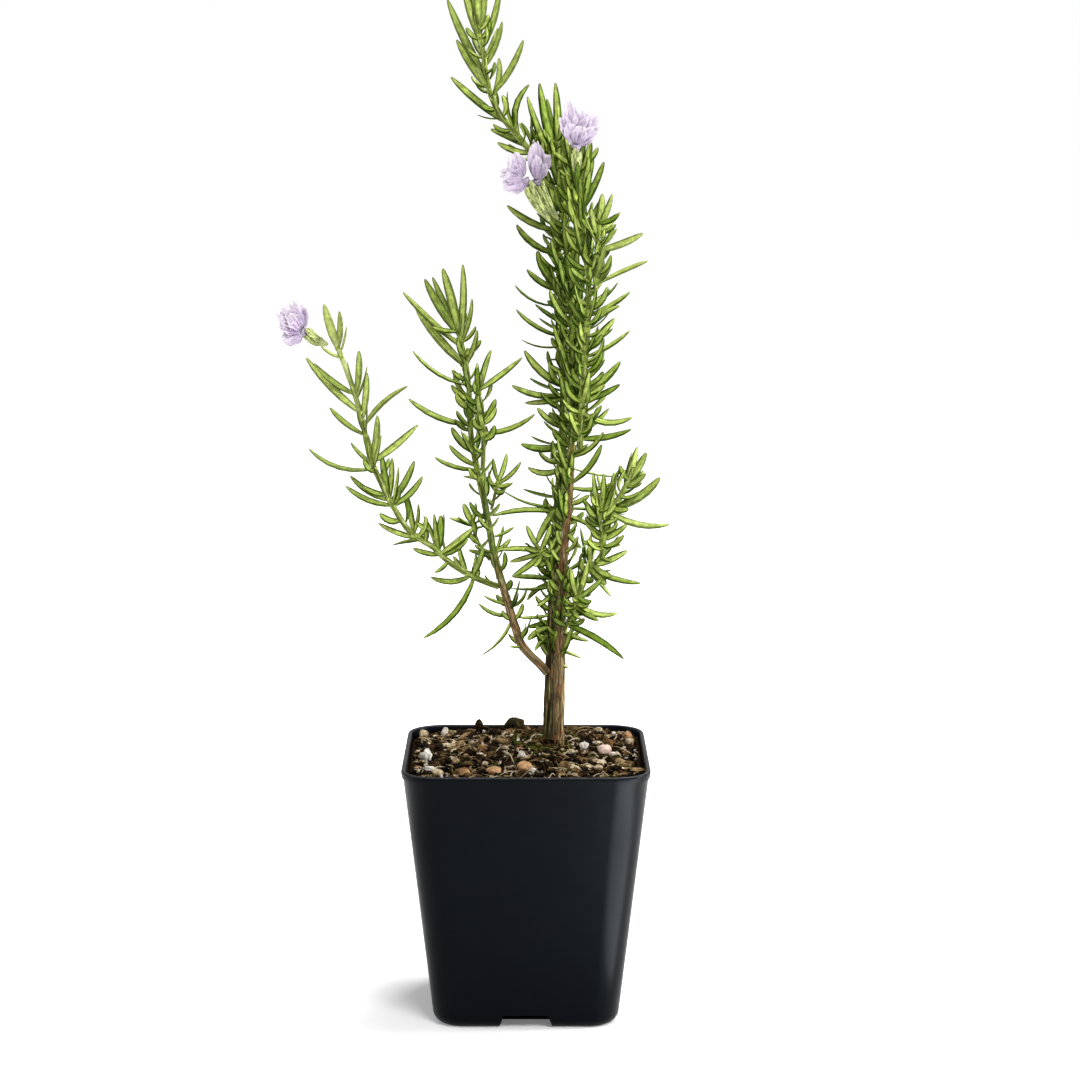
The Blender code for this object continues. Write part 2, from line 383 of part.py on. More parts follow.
def boolean(target, tool, operation):
    """Join or cut target with tool, keep the result in target's mesh, and drop the tool."""
    modifier = target.modifiers.new(operation, "BOOLEAN")
    modifier.operation = operation
    modifier.solver = "EXACT"
    modifier.object = tool
    graph = bpy.context.evaluated_depsgraph_get()
    result = bpy.data.meshes.new_from_object(target.evaluated_get(graph))
    target.modifiers.remove(modifier)
    target.data = result
    bpy.data.objects.remove(tool, do_unlink=True)


def keep_largest_island(obj):
    """Delete every loose chip that a cut has left, so one body remains."""
    bm = bmesh.new()
    bm.from_mesh(obj.data)
    unseen = set(bm.verts)
    islands = []
    while unseen:
        front = [unseen.pop()]
        island = list(front)
        while front:
            near = {e.other_vert(v) for v in front for e in v.link_edges} & unseen
            unseen -= near
            front = list(near)
            island += front
        islands.append(island)
    islands.sort(key=len)
    for island in islands[:-1]:
        bmesh.ops.delete(bm, geom=island, context="VERTS")
    bm.to_mesh(obj.data)
    bm.free()


# ---------------------------------------------------------------- pot and mix

def rounded_square(half, corner, z):
    """Points of a rounded square round the Z axis, anticlockwise from the +X side."""
    points = []
    for quarter in range(4):
        turn = quarter * math.pi / 2
        for step in range(CORNER_STEPS + 1):
            angle = step / CORNER_STEPS * math.pi / 2
            x = half - corner + corner * math.cos(angle)
            y = half - corner + corner * math.sin(angle)
            points.append(Vector((x * math.cos(turn) - y * math.sin(turn),
                                  x * math.sin(turn) + y * math.cos(turn), z)))
    return points


def loft(rings):
    """A closed bmesh through equal rings of points, with a flat face on the first and the last."""
    bm = bmesh.new()
    rows = [[bm.verts.new(p) for p in ring] for ring in rings]
    count = len(rows[0])
    for low, high in zip(rows, rows[1:]):
        for i in range(count):
            j = (i + 1) % count
            bm.faces.new((low[i], low[j], high[j], high[i]))
    bm.faces.new(rows[0])
    bm.faces.new(rows[-1])
    return bm


def pot_half(z):
    """Half the pot's outside width at a height."""
    return POT_BASE_HALF + (POT_TOP_HALF - POT_BASE_HALF) * z / POT_HEIGHT


def pot_corner(z):
    """Plan radius of the pot's corners at a height."""
    return POT_BASE_CORNER + (POT_TOP_CORNER - POT_BASE_CORNER) * z / POT_HEIGHT


def pot_ring(z, inset):
    """A ring parallel to the pot's outside, moved in by inset."""
    return rounded_square(pot_half(z) - inset, max(pot_corner(z) - inset, 1.0), z)


def round_rings(radius, floor, inset):
    """Rings up a quarter round from a floor to a wall that is moved in by inset."""
    rings = []
    for step in range(CORNER_STEPS + 1):
        angle = step / CORNER_STEPS * math.pi / 2
        rings.append(pot_ring(floor + radius * (1 - math.cos(angle)),
                              inset + radius * (1 - math.sin(angle))))
    return rings


def notch_prism(grow):
    """A trapezoid prism along +X at the foot of the pot's +X side, larger all round by grow."""
    low = NOTCH_LOW + grow
    high = NOTCH_HIGH + grow
    top = NOTCH_HEIGHT + grow
    section = [(-low, -1.0), (low, -1.0), (high, top), (-high, top)]
    inner = POT_BASE_HALF - NOTCH_DEPTH - grow
    outer = POT_BASE_HALF + CUTTER_REACH if grow == 0.0 else POT_BASE_HALF - 0.4 * POT_WALL
    return loft([[Vector((x, y, z)) for y, z in section] for x in (inner, outer)])


def four_notches(name, grow, collection):
    """The four drain notches, one on each side, as separate tools."""
    tools = []
    for side in range(4):
        bm = notch_prism(grow)
        if grow:
            bmesh.ops.bisect_plane(bm, geom=bm.verts[:] + bm.edges[:] + bm.faces[:],
                                   plane_co=(0, 0, 0.4 * POT_FLOOR), plane_no=(0, 0, -1),
                                   clear_outer=True)
            bmesh.ops.holes_fill(bm, edges=bm.edges)
        bmesh.ops.rotate(bm, matrix=Matrix.Rotation(side * math.pi / 2, 3, "Z"), verts=bm.verts)
        tools.append(add_mesh(f"{name}_{side}", bm, BLACK_PLASTIC, collection))
    return tools


def build_pot(collection, tools):
    """The shell in one loft: cavity floor, cavity wall, rim, outside, foot and underside."""
    rings = round_rings(FLOOR_ROUND, POT_FLOOR, POT_WALL)
    rings.append(pot_ring(POT_HEIGHT - RIM_BAND, POT_WALL))
    rings.append(pot_ring(POT_HEIGHT - RIM_EDGE, POT_WALL))
    rings.append(pot_ring(POT_HEIGHT, POT_WALL - RIM_EDGE))
    rings.append(pot_ring(POT_HEIGHT, RIM_EDGE - RIM_LIP))
    rings.append(pot_ring(POT_HEIGHT - RIM_EDGE, -RIM_LIP))
    rings.append(pot_ring(POT_HEIGHT - RIM_BAND, -RIM_LIP))
    rings.append(pot_ring(POT_HEIGHT - RIM_BAND - RIM_SLOPE, 0.0))
    rings += reversed(round_rings(FOOT_ROUND, 0.0, 0.0))
    pot = add_mesh("pot", loft(rings), BLACK_PLASTIC, collection)
    for hump in four_notches("notch_skin", NOTCH_SKIN, tools):
        boolean(pot, hump, "UNION")
    for notch in four_notches("notch", 0.0, tools):
        boolean(pot, notch, "DIFFERENCE")
    return pot


def mix_height(x, y):
    """Height of the mix: highest beside the stems, lowest at the wall, with a lumpy crust."""
    away = math.hypot(x - MOUND_MIDDLE[0], y - MOUND_MIDDLE[1])
    mound = MIX_MOUND * math.exp(-(away / MOUND_SPREAD) ** 2)
    lumps = 0.5 * math.sin(0.55 * x + 0.8) * math.cos(0.47 * y) + 0.35 * math.sin(0.9 * y + 0.3 * x)
    return MIX_EDGE + mound + lumps


def build_mix(collection, tools, paths):
    """A plug of mix inside the pot, bored for the two rooted stems and the notch skins."""
    inset = POT_WALL + GAP
    rings = round_rings(FLOOR_ROUND, POT_FLOOR + GAP, inset)
    rings += [pot_ring(z, inset) for z in MIX_LAYERS]
    edge = pot_ring(MIX_EDGE, inset)
    for ring in range(MIX_RINGS):
        shrink = 1.0 - ring / MIX_RINGS
        flat = [Vector((p.x * shrink, p.y * shrink, 0.0)) for p in edge]
        rings.append([Vector((p.x, p.y, mix_height(p.x, p.y))) for p in flat])
    mix = add_mesh("potting_mix", loft(rings), DARK_MIX, collection)
    for hump in four_notches("skin_space", NOTCH_SKIN + GAP, tools):
        boolean(mix, hump, "DIFFERENCE")
    for name in ("main_stem", "arching_stem"):
        boolean(mix, tube("root_space", paths[name], tools, GAP), "DIFFERENCE")
    return mix


# ---------------------------------------------------------------- stems

def off_sheet(x, depth, z):
    """Move a point of the sheet to a depth, along its line from the eye."""
    scale = (depth - EYE_DEPTH) / (SHEET_DEPTH - EYE_DEPTH)
    return x * scale, depth, EYE_HEIGHT + (z - EYE_HEIGHT) * scale


class StemPath:
    """A smooth course through a stem's points, with a radius that tapers along it."""

    def __init__(self, points, low_radius, high_radius):
        """Sample a Catmull-Rom curve through the points about every half millimetre."""
        placed = [off_sheet(*point) for point in points]
        knots = np.array([placed[0]] + placed + [placed[-1]], dtype=float)
        rows = []
        for a, b, c, d in zip(knots, knots[1:], knots[2:], knots[3:]):
            steps = max(int(np.linalg.norm(c - b) * 2), 2)
            t = np.linspace(0, 1, steps, endpoint=False)[:, None]
            rows.append(0.5 * (2 * b + (c - a) * t + (2 * a - 5 * b + 4 * c - d) * t ** 2
                               + (3 * b - a - 3 * c + d) * t ** 3))
        rows.append(knots[-1:])
        self.points = np.concatenate(rows)
        reach = np.concatenate([[0], np.cumsum(np.linalg.norm(np.diff(self.points, axis=0), axis=1))])
        self.station = reach
        self.length = reach[-1]
        self.radius = low_radius + (high_radius - low_radius) * reach / reach[-1]

    def at(self, station):
        """The point and the radius at a distance along the stem, also a little past its tip."""
        point = Vector([np.interp(station, self.station, self.points[:, k]) for k in range(3)])
        if station > self.length:
            point += self.way(self.length) * (station - self.length)
        return point, float(np.interp(station, self.station, self.radius))

    def station_at_height(self, z):
        """The distance along the stem at which it reaches a height."""
        return float(np.interp(z, self.points[:, 2], self.station))

    def way(self, station):
        """The unit direction of growth at a distance along the stem."""
        ends = (max(station - 1.0, 0.0), min(station + 1.0, self.length))
        behind, ahead = (self.at(end)[0] for end in ends)
        return (ahead - behind).normalized()


def tube(name, path, collection, grow=0.0, start=0.0, end=None, widen=None):
    """A mesh tube along a stretch of a stem, thicker than the stem by grow, or by widen(station)."""
    end = path.length if end is None else end
    count = max(int((end - start) / TUBE_STEP) + 2, 4)
    stations = np.linspace(start, end, count)
    if widen:
        stations = np.unique(np.concatenate([stations, widen.breaks]))
    curve = bpy.data.curves.new(name, "CURVE")
    curve.dimensions = "3D"
    curve.bevel_depth = MM
    curve.bevel_resolution = 1
    curve.use_fill_caps = True
    spline = curve.splines.new("POLY")
    spline.points.add(len(stations) - 1)
    for point, station in zip(spline.points, stations):
        place, radius = path.at(station)
        point.co = (*(place * MM), 1.0)
        point.radius = radius + (widen.at(station) if widen else grow)
    drawn = bpy.data.objects.new(name, curve)
    collection.objects.link(drawn)
    graph = bpy.context.evaluated_depsgraph_get()
    mesh = bpy.data.meshes.new_from_object(drawn.evaluated_get(graph))
    bm = bmesh.new()
    bm.from_mesh(mesh)
    bmesh.ops.remove_doubles(bm, verts=bm.verts, dist=1e-7)
    bmesh.ops.recalc_face_normals(bm, faces=bm.faces)
    bm.to_mesh(mesh)
    bm.free()
    bpy.data.objects.remove(drawn, do_unlink=True)
    bpy.data.curves.remove(curve)
    obj = bpy.data.objects.new(name, mesh)
    collection.objects.link(obj)
    return obj


def build_stems(collection, paths):
    """One tapering tube for each stem."""
    for name, (_, _, _, look) in STEMS.items():
        stem = tube(name, paths[name], collection)
        stem.data.materials.append(finish(name, look))
        stem.data.shade_smooth()


# ---------------------------------------------------------------- leaves

def leaf_course(path, leaf, depth):
    """Start, middle control point and tip of a leaf that leaves the stem at leaf.base_z."""
    start, _ = path.at(path.station_at_height(leaf.base_z))
    tip = Vector(off_sheet(leaf.tip_x, start.y + depth, leaf.tip_z))
    run = tip.x - start.x
    rise = tip.z - start.z
    span = math.hypot(run, rise)
    side = 1.0 if run >= 0 else -1.0
    outward = Vector((rise, 0.0, -run)) * side / span
    return start, (start + tip) / 2 + outward * 2 * leaf.bow, tip


def course_point(course, t):
    """A point of the quadratic curve through a leaf's start and tip."""
    start, control, tip = course
    return start * (1 - t) ** 2 + control * 2 * t * (1 - t) + tip * t ** 2


def leaf_width(t):
    """Width of a leaf along its length as a share of the widest: narrow foot, blunt point."""
    return min(1.0, 0.55 + 1.6 * t) * math.sqrt(max(1.0 - t ** 3, 0.0))


def leaf_solid(name, course, width, facing, collection):
    """A ball drawn out into a slim flattened leaf that follows its course."""
    bm = bmesh.new()
    bmesh.ops.create_uvsphere(bm, u_segments=LEAF_SIDES, v_segments=LEAF_SECTIONS, radius=1.0)
    for vert in bm.verts:
        t = min(max((vert.co.z + 1.0) / 2.0, 0.0), 1.0)
        ring = math.hypot(vert.co.x, vert.co.y)
        across = vert.co.x / ring if ring > 1e-6 else 0.0
        through = vert.co.y / ring if ring > 1e-6 else 0.0
        ahead = (course_point(course, min(t + 0.05, 1.0)) - course_point(course, max(t - 0.05, 0.0)))
        along = ahead.normalized()
        side = along.cross(facing).normalized()
        up = side.cross(along)
        half = width / 2 * leaf_width(t)
        vert.co = course_point(course, t) + side * across * half + up * through * half * LEAF_FLATNESS
    return add_mesh(name, bm, LEAF_GREEN, collection)


class Space:
    """Balls that stand for what is already placed, each with the name of its owner."""

    def __init__(self):
        """Start empty."""
        self.centres = np.empty((0, 3))
        self.radii = np.empty(0)
        self.owners = np.empty(0, dtype=object)

    def add(self, owner, centres, radii):
        """Add a row of balls."""
        self.centres = np.concatenate([self.centres, centres])
        self.radii = np.concatenate([self.radii, radii])
        self.owners = np.concatenate([self.owners, [owner] * len(radii)])

    def clearance(self, centres, radii, ignore):
        """Least gap between the given balls and the placed ones whose owner isn't ignored."""
        keep = ~np.isin(self.owners, ignore)
        if not keep.any():
            return 99.0
        apart = np.linalg.norm(centres[:, None] - self.centres[keep][None], axis=2)
        return float((apart - radii[:, None] - self.radii[keep][None]).min())


def leaf_balls(course, width):
    """Balls along a leaf that hold its whole solid."""
    steps = np.linspace(0.12, 1.0, 16)
    centres = np.array([course_point(course, t) for t in steps])
    radii = np.array([max(width / 2 * leaf_width(t), 0.25) for t in steps])
    return centres, radii


def leaf_pairs(set_name, paths):
    """Leaves that point forward and back from a stretch of stem, a pair every PAIR_STEP."""
    chance = random.Random(set_name)
    path = paths[LEAF_SETS[set_name][0]]
    rows = []
    for low, high in [span[1:] for span in PAIRS if span[0] == set_name]:
        for z in np.arange(low, high + 0.5, PAIR_STEP):
            start, _ = path.at(path.station_at_height(z))
            for side in (-1, 1):
                reach = chance.uniform(*PAIR_REACH) * side
                drift = chance.uniform(-PAIR_DRIFT, PAIR_DRIFT)
                rise = chance.uniform(*PAIR_RISE)
                width = chance.uniform(*PAIR_WIDTH)
                rows.append((z, start.x + drift, start.z + rise, 0.3, width, reach))
    return rows


def place_leaves(paths, space):
    """Choose each leaf's depth so that it clears what is there; leave it off if none does."""
    placed = {}
    for set_name, (stem_name, rows) in LEAF_SETS.items():
        courses = []
        for row in rows + leaf_pairs(set_name, paths):
            leaf = Leaf(*row)
            for shift in DEPTH_TRIES:
                course = leaf_course(paths[stem_name], leaf, leaf.depth + shift)
                centres, radii = leaf_balls(course, leaf.width)
                if space.clearance(centres, radii, (stem_name, set_name)) > GAP:
                    space.add(set_name, centres, radii)
                    courses.append((course, leaf))
                    break
        placed[set_name] = courses
    return placed


class Clearance:
    """Bore for one leaf set: GAP round the stem, and wider where other sets clasp it."""

    def __init__(self, path, own, others):
        """own and others are (start, end) stations of the sleeves."""
        self.own = own
        self.others = others
        edges = [station + shift for low, high in others for station in (low, high)
                 for shift in (-GAP - 0.2, -GAP, GAP, GAP + 0.2)]
        self.breaks = np.array([s for s in edges if 0.0 < s < path.length])

    def at(self, station):
        """How much wider than the stem the bore is here."""
        for low, high in self.others:
            if low - GAP <= station <= high + GAP:
                return SLEEVE + 2 * GAP
        return GAP


def sleeve_span(path, courses):
    """The stretch of stem, as two stations, that a set of leaves clasps."""
    stations = [path.station_at_height(leaf.base_z) for _, leaf in courses]
    return max(min(stations) - 1.0, 0.5), min(max(stations) + 1.0, path.length - 0.5)


def build_leaf_set(name, path, courses, others, collection, tools):
    """Join the leaves of a set to the sleeve that clasps the stem, then bore it for the stem."""
    start, end = sleeve_span(path, courses)
    group = tube(name, path, collection, GAP + SLEEVE, start, end)
    group.data.materials.append(finish(name, LEAF_GREEN))
    for course, leaf in courses:
        facing = path.way(path.station_at_height(leaf.base_z))
        boolean(group, leaf_solid("leaf", course, leaf.width, facing, tools), "UNION")
    bore = Clearance(path, (start, end), others)
    boolean(group, tube("bore", path, tools, end=path.length + 2 * GAP, widen=bore), "DIFFERENCE")
    keep_largest_island(group)
    return group


def build_leaves(collection, tools, paths, placed):
    """Every leaf set, each knowing where the other sets clasp the same stem."""
    spans = {name: sleeve_span(paths[LEAF_SETS[name][0]], courses)
             for name, courses in placed.items() if courses}
    for name, courses in placed.items():
        if not courses:
            continue
        stem_name = LEAF_SETS[name][0]
        others = [span for other, span in spans.items()
                  if other != name and LEAF_SETS[other][0] == stem_name]
        build_leaf_set(name, paths[stem_name], courses, others, collection, tools)


# ---------------------------------------------------------------- flowers and lumps

def ellipsoid(name, centre, axes, turn, look, collection):
    """A ball stretched to three semi-axes and turned."""
    bm = bmesh.new()
    bmesh.ops.create_uvsphere(bm, u_segments=7, v_segments=5, radius=1.0)
    shape = Matrix.Translation(centre) @ turn.to_4x4() @ Matrix.Diagonal((*axes, 1.0))
    bmesh.ops.transform(bm, matrix=shape, verts=bm.verts)
    return add_mesh(name, bm, look, collection)


def cone(name, start, way, length, radii, look, collection):
    """A cut cone from start along way, with its radii at the two ends."""
    bm = bmesh.new()
    bmesh.ops.create_cone(bm, cap_ends=True, segments=8, radius1=radii[0], radius2=radii[1],
                          depth=length)
    turn = way.to_track_quat("Z", "Y").to_matrix().to_4x4()
    place = Matrix.Translation(start + way * length / 2) @ turn
    bmesh.ops.transform(bm, matrix=place, verts=bm.verts)
    return add_mesh(name, bm, look, collection)


def flower_parts(flower):
    """Start, direction, throat and a turn whose X axis points along the flower."""
    start = Vector(flower.base)
    way = Vector(flower.way).normalized()
    throat = start + way * (flower.calyx_length + GAP + flower.tube_length)
    side = Vector(flower.up).cross(way).normalized()
    turn = Matrix((way, side, way.cross(side))).transposed()
    return start, way, throat, turn


def build_flower(flower, collection, tools):
    """A ribbed calyx cup and, clear of its mouth, the corolla: tube, upper lip and lower lip."""
    start, way, throat, turn = flower_parts(flower)
    cone(flower.name.replace("flower", "calyx"), start, way, flower.calyx_length, CALYX_RADII,
         CALYX_GREEN, collection)
    mouth = start + way * (flower.calyx_length + GAP)
    corolla = cone(flower.name.replace("flower", "corolla"), mouth, way, flower.tube_length,
                   TUBE_RADII, LILAC, collection)
    size = flower.spread
    for offset, axes, pitch in (CORE, UPPER_LIP, LOWER_LIP):
        lobe_turn = turn @ Matrix.Rotation(math.radians(pitch), 3, "Y")
        lobe = ellipsoid("lobe", throat + turn @ (Vector(offset) * size), [a * size for a in axes],
                         lobe_turn, LILAC, tools)
        boolean(corolla, lobe, "UNION")


def reserve_flowers(space):
    """Keep the leaves out of the flowers."""
    for flower in FLOWERS:
        start, way, throat, _ = flower_parts(flower)
        steps = np.linspace(0.0, 1.0, 6)
        reach = (throat - start).length
        line = np.array([start + way * reach * t for t in steps])
        space.add(flower.name, line, 1.0 + 1.3 * steps)
        rises, radius = LIP_SPACE
        for rise in rises:
            lip = throat + way + Vector((0, 0, rise))
            space.add(flower.name, np.array([lip]), np.array([radius]))


def build_lumps(collection):
    """Stones, a clod and moss, each resting just clear of the mix."""
    for name, (x, y, axes, look) in LUMPS.items():
        under = [mix_height(x + axes[0] * 0.5 * i, y + axes[1] * 0.5 * j)
                 for i in (-1, 0, 1) for j in (-1, 0, 1)]
        centre = Vector((x, y, max(under) + axes[2] + GAP))
        turn = Matrix.Rotation(0.3 + 0.05 * x, 3, "Z")
        ellipsoid(name, centre, axes, turn, look, collection)


def main():
    """Build the whole plant in its pot."""
    clear_scene()
    parts = new_collection("potted_rosemary")
    tools = new_collection("tools")
    paths = {name: StemPath(points, low, high) for name, (points, low, high, _) in STEMS.items()}
    build_pot(parts, tools)
    build_mix(parts, tools, paths)
    build_stems(parts, paths)
    space = Space()
    for name, path in paths.items():
        space.add(name, path.points[::3], path.radius[::3] + SLEEVE + GAP)
    reserve_flowers(space)
    placed = place_leaves(paths, space)
    build_leaves(parts, tools, paths, placed)
    for flower in FLOWERS:
        build_flower(flower, parts, tools)
    build_lumps(parts)
    stand = bpy.data.objects.new("stand", None)
    parts.objects.link(stand)
    for piece in parts.objects:
        if piece is not stand:
            piece.parent = stand


main()
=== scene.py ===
"""Looks of a young rosemary plant in a dark nursery pot.

Sizes are in millimetres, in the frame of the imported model, until a mesh is made in metres.
Surfaces are worked out as whole numpy arrays.  Nearly every piece is a batch of closed tubes: an
array of rings whose axes are (piece, ring, side, xyz), with named marks that its finish reads.
"""
import logging
import math
import random
from collections.abc import Callable, Sequence
from dataclasses import dataclass
from enum import Enum

import bpy
import numpy as np
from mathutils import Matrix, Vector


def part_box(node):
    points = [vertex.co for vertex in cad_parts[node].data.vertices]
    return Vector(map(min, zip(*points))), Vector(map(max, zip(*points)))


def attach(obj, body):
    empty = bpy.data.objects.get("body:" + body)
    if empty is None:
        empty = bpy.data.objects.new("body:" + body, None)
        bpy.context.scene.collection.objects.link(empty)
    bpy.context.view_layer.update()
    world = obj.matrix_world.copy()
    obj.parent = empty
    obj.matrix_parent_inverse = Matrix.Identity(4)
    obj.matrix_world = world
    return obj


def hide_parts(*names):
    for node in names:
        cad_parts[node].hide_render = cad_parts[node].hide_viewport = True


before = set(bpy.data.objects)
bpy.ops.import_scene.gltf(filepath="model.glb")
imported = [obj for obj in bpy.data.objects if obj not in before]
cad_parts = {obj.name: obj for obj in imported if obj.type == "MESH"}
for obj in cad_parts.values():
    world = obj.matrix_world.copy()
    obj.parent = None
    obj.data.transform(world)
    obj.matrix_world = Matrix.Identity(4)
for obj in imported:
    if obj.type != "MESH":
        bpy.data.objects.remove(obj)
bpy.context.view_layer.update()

LOG = logging.getLogger("rosemary")
MM = 0.001
Knot = tuple[float, float, float]
Colour = tuple[float, float, float]
Socket = bpy.types.NodeSocket
Rng = np.random.Generator

# The upright sheet on which the plant's outline is laid out, and the eye that keeps the outline
# when a shoot leans forward or back.
SHEET_DEPTH = 6.0
EYE_DEPTH = -1025.0
EYE_HEIGHT = 328.0
SKYWARD = np.array([0.0, 0.0, 1.0])
FRONTWARD = np.array([0.0, -1.0, 0.0])


class Slot(Enum):
    """The record's material slots."""

    PLASTIC = "black_plastic"
    MIX = "potting_mix"
    MOSS = "moss"
    TAN_STONE = "tan_stone"
    PALE_STONE = "pale_stone"
    WOOD = "woody_bark"
    GREEN_WOOD = "green_bark"
    LEAF = "needle_leaf"
    CALYX = "pale_calyx"
    PETAL = "lilac_petal"


# ------------------------------------------------------------------ vectors and skins

def unit(vectors: np.ndarray) -> np.ndarray:
    """Vectors of length one along the last axis."""
    return vectors / np.maximum(np.linalg.norm(vectors, axis=-1, keepdims=True), 1e-9)


def off_sheet(point: Knot) -> Knot:
    """Move a sheet point (x, depth, z) to its depth, along its line from the eye."""
    x, depth, z = point
    scale = (depth - EYE_DEPTH) / (SHEET_DEPTH - EYE_DEPTH)
    return x * scale, depth, EYE_HEIGHT + (z - EYE_HEIGHT) * scale


def smooth_step(value: np.ndarray, low: float, high: float) -> np.ndarray:
    """Rise from 0 at low to 1 at high, level at both ends: 3t^2 - 2t^3."""
    t = np.clip((value - low) / (high - low), 0.0, 1.0)
    return t * t * (3 - 2 * t)


def round_angles(count: int) -> np.ndarray:
    """Angles of a ring's points, spaced evenly from 0."""
    return np.arange(count) / count * 2 * math.pi


def wheel(first: np.ndarray, second: np.ndarray, turn: np.ndarray) -> np.ndarray:
    """Directions in the plane of two vectors: first cos(turn) + second sin(turn)."""
    return first * np.cos(turn)[..., None] + second * np.sin(turn)[..., None]


def ball(latitude: np.ndarray, longitude: np.ndarray) -> np.ndarray:
    """Points of a ball of radius one; latitude runs from 0 at the foot to pi at the top."""
    return np.stack([np.sin(latitude) * np.cos(longitude), np.sin(latitude) * np.sin(longitude),
                     -np.cos(latitude)], axis=-1)


def ripples(turn: np.ndarray, run: np.ndarray, folds: Sequence[int], pitch: float,
            rng: Rng) -> np.ndarray:
    """Ridges round and along a tube: a sum of sines, each with a whole number of folds round.

    Args:
        turn: Angle round the tube.
        run: Distance along it.
        folds: How many ridges each sine has round the tube.
        pitch: Distance over which the ridges wander.
        rng: Draws the phases.

    Returns:
        Heights between about -1 and 1.
    """
    total = np.zeros(np.broadcast_shapes(turn.shape, run.shape))
    for count in folds:
        phase, sway, drift = rng.uniform(0, 2 * math.pi, 3)
        wander = 1.3 * np.sin(run / pitch + sway) + 0.6 * np.sin(2.7 * run / pitch + drift)
        total = total + np.sin(count * turn + wander + phase)
    return total / max(len(folds), 1)


@dataclass
class Skin:
    """Vertices, faces and vertex marks of one or more closed surfaces."""

    vertices: np.ndarray
    quads: np.ndarray
    triangles: np.ndarray
    marks: dict[str, np.ndarray]

    @classmethod
    def joined(cls, skins: Sequence["Skin"]) -> "Skin":
        """One skin out of several; a mark that a skin lacks is 0 there."""
        shifts = np.cumsum([0] + [len(skin.vertices) for skin in skins[:-1]])
        names = {name for skin in skins for name in skin.marks}
        widths = {name: max(skin.marks[name].ndim for skin in skins if name in skin.marks)
                  for name in names}
        marks = {}
        for name in sorted(names):
            blank = (lambda n, wide=widths[name]: np.zeros((n, 3) if wide == 2 else n))
            marks[name] = np.concatenate([skin.marks.get(name, blank(len(skin.vertices)))
                                          for skin in skins])
        return cls(np.concatenate([skin.vertices for skin in skins]),
                   np.concatenate([skin.quads + k for skin, k in zip(skins, shifts)]),
                   np.concatenate([skin.triangles + k for skin, k in zip(skins, shifts)]), marks)

    def piece(self, name: str, finish: "Finish", slot: Slot, replaced: Sequence[str] = (),
              smooth: bool = True) -> bpy.types.Object:
        """Make the skin an object at the origin that rides on the root body.

        Args:
            name: The object's name.
            finish: What it is made of.
            slot: The record's slot that the finish belongs to; it is not used.
            replaced: CAD nodes that it stands for.
            smooth: Round shading, or flat facets.

        Returns:
            The new object.
        """
        mesh = bpy.data.meshes.new(name)
        loops = np.concatenate([self.quads.ravel(), self.triangles.ravel()]).astype(np.int32)
        totals = np.concatenate([np.full(len(self.quads), 4), np.full(len(self.triangles), 3)])
        starts = np.concatenate([[0], np.cumsum(totals)[:-1]]).astype(np.int32)
        mesh.vertices.add(len(self.vertices))
        mesh.vertices.foreach_set("co", (self.vertices * MM).astype(np.float32).ravel())
        mesh.loops.add(len(loops))
        mesh.loops.foreach_set("vertex_index", loops)
        mesh.polygons.add(len(totals))
        mesh.polygons.foreach_set("loop_start", starts)
        mesh.update(calc_edges=True)
        for mark, values in self.marks.items():
            kind = "FLOAT_VECTOR" if values.ndim == 2 else "FLOAT"
            layer = mesh.attributes.new(mark, kind, "POINT")
            layer.data.foreach_set("vector" if values.ndim == 2 else "value",
                                   values.astype(np.float32).ravel())
        mesh.polygons.foreach_set("use_smooth", np.full(len(totals), smooth))
        return place_piece(name, mesh, finish, replaced)


def place_piece(name: str, mesh: bpy.types.Mesh, finish: "Finish",
                replaced: Sequence[str] = ()) -> bpy.types.Object:
    """Link a mesh as a finished piece and hide the CAD nodes that it stands for.

    Args:
        name: The object's name.
        mesh: Its mesh, in metres, already in place.
        finish: What it is made of.
        replaced: CAD nodes that it stands for.

    Returns:
        The new object.
    """
    obj = bpy.data.objects.new(name, mesh)
    bpy.context.scene.collection.objects.link(obj)
    mesh.materials.append(finish.material())
    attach(obj, "root")
    if replaced:
        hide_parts(*replaced)
    LOG.info("%s: %d faces", name, len(mesh.polygons))
    return obj


def spread_marks(marks: dict, shape: tuple[int, ...], extend: Callable) -> dict[str, np.ndarray]:
    """Broadcast marks to a batch's points.

    Args:
        marks: Values that broadcast to the shape, or with a last axis of 3.
        shape: The batch's axes (piece, row, point).
        extend: Adds the points that closing the batch adds.

    Returns:
        Each mark as one row for each vertex.
    """
    spread = {}
    for name, values in marks.items():
        values = np.asarray(values, dtype=float)
        wide = values.ndim == 4
        full = np.broadcast_to(values, (*shape, 3) if wide else shape)
        spread[name] = extend(full).reshape((-1, 3) if wide else -1)
    return spread


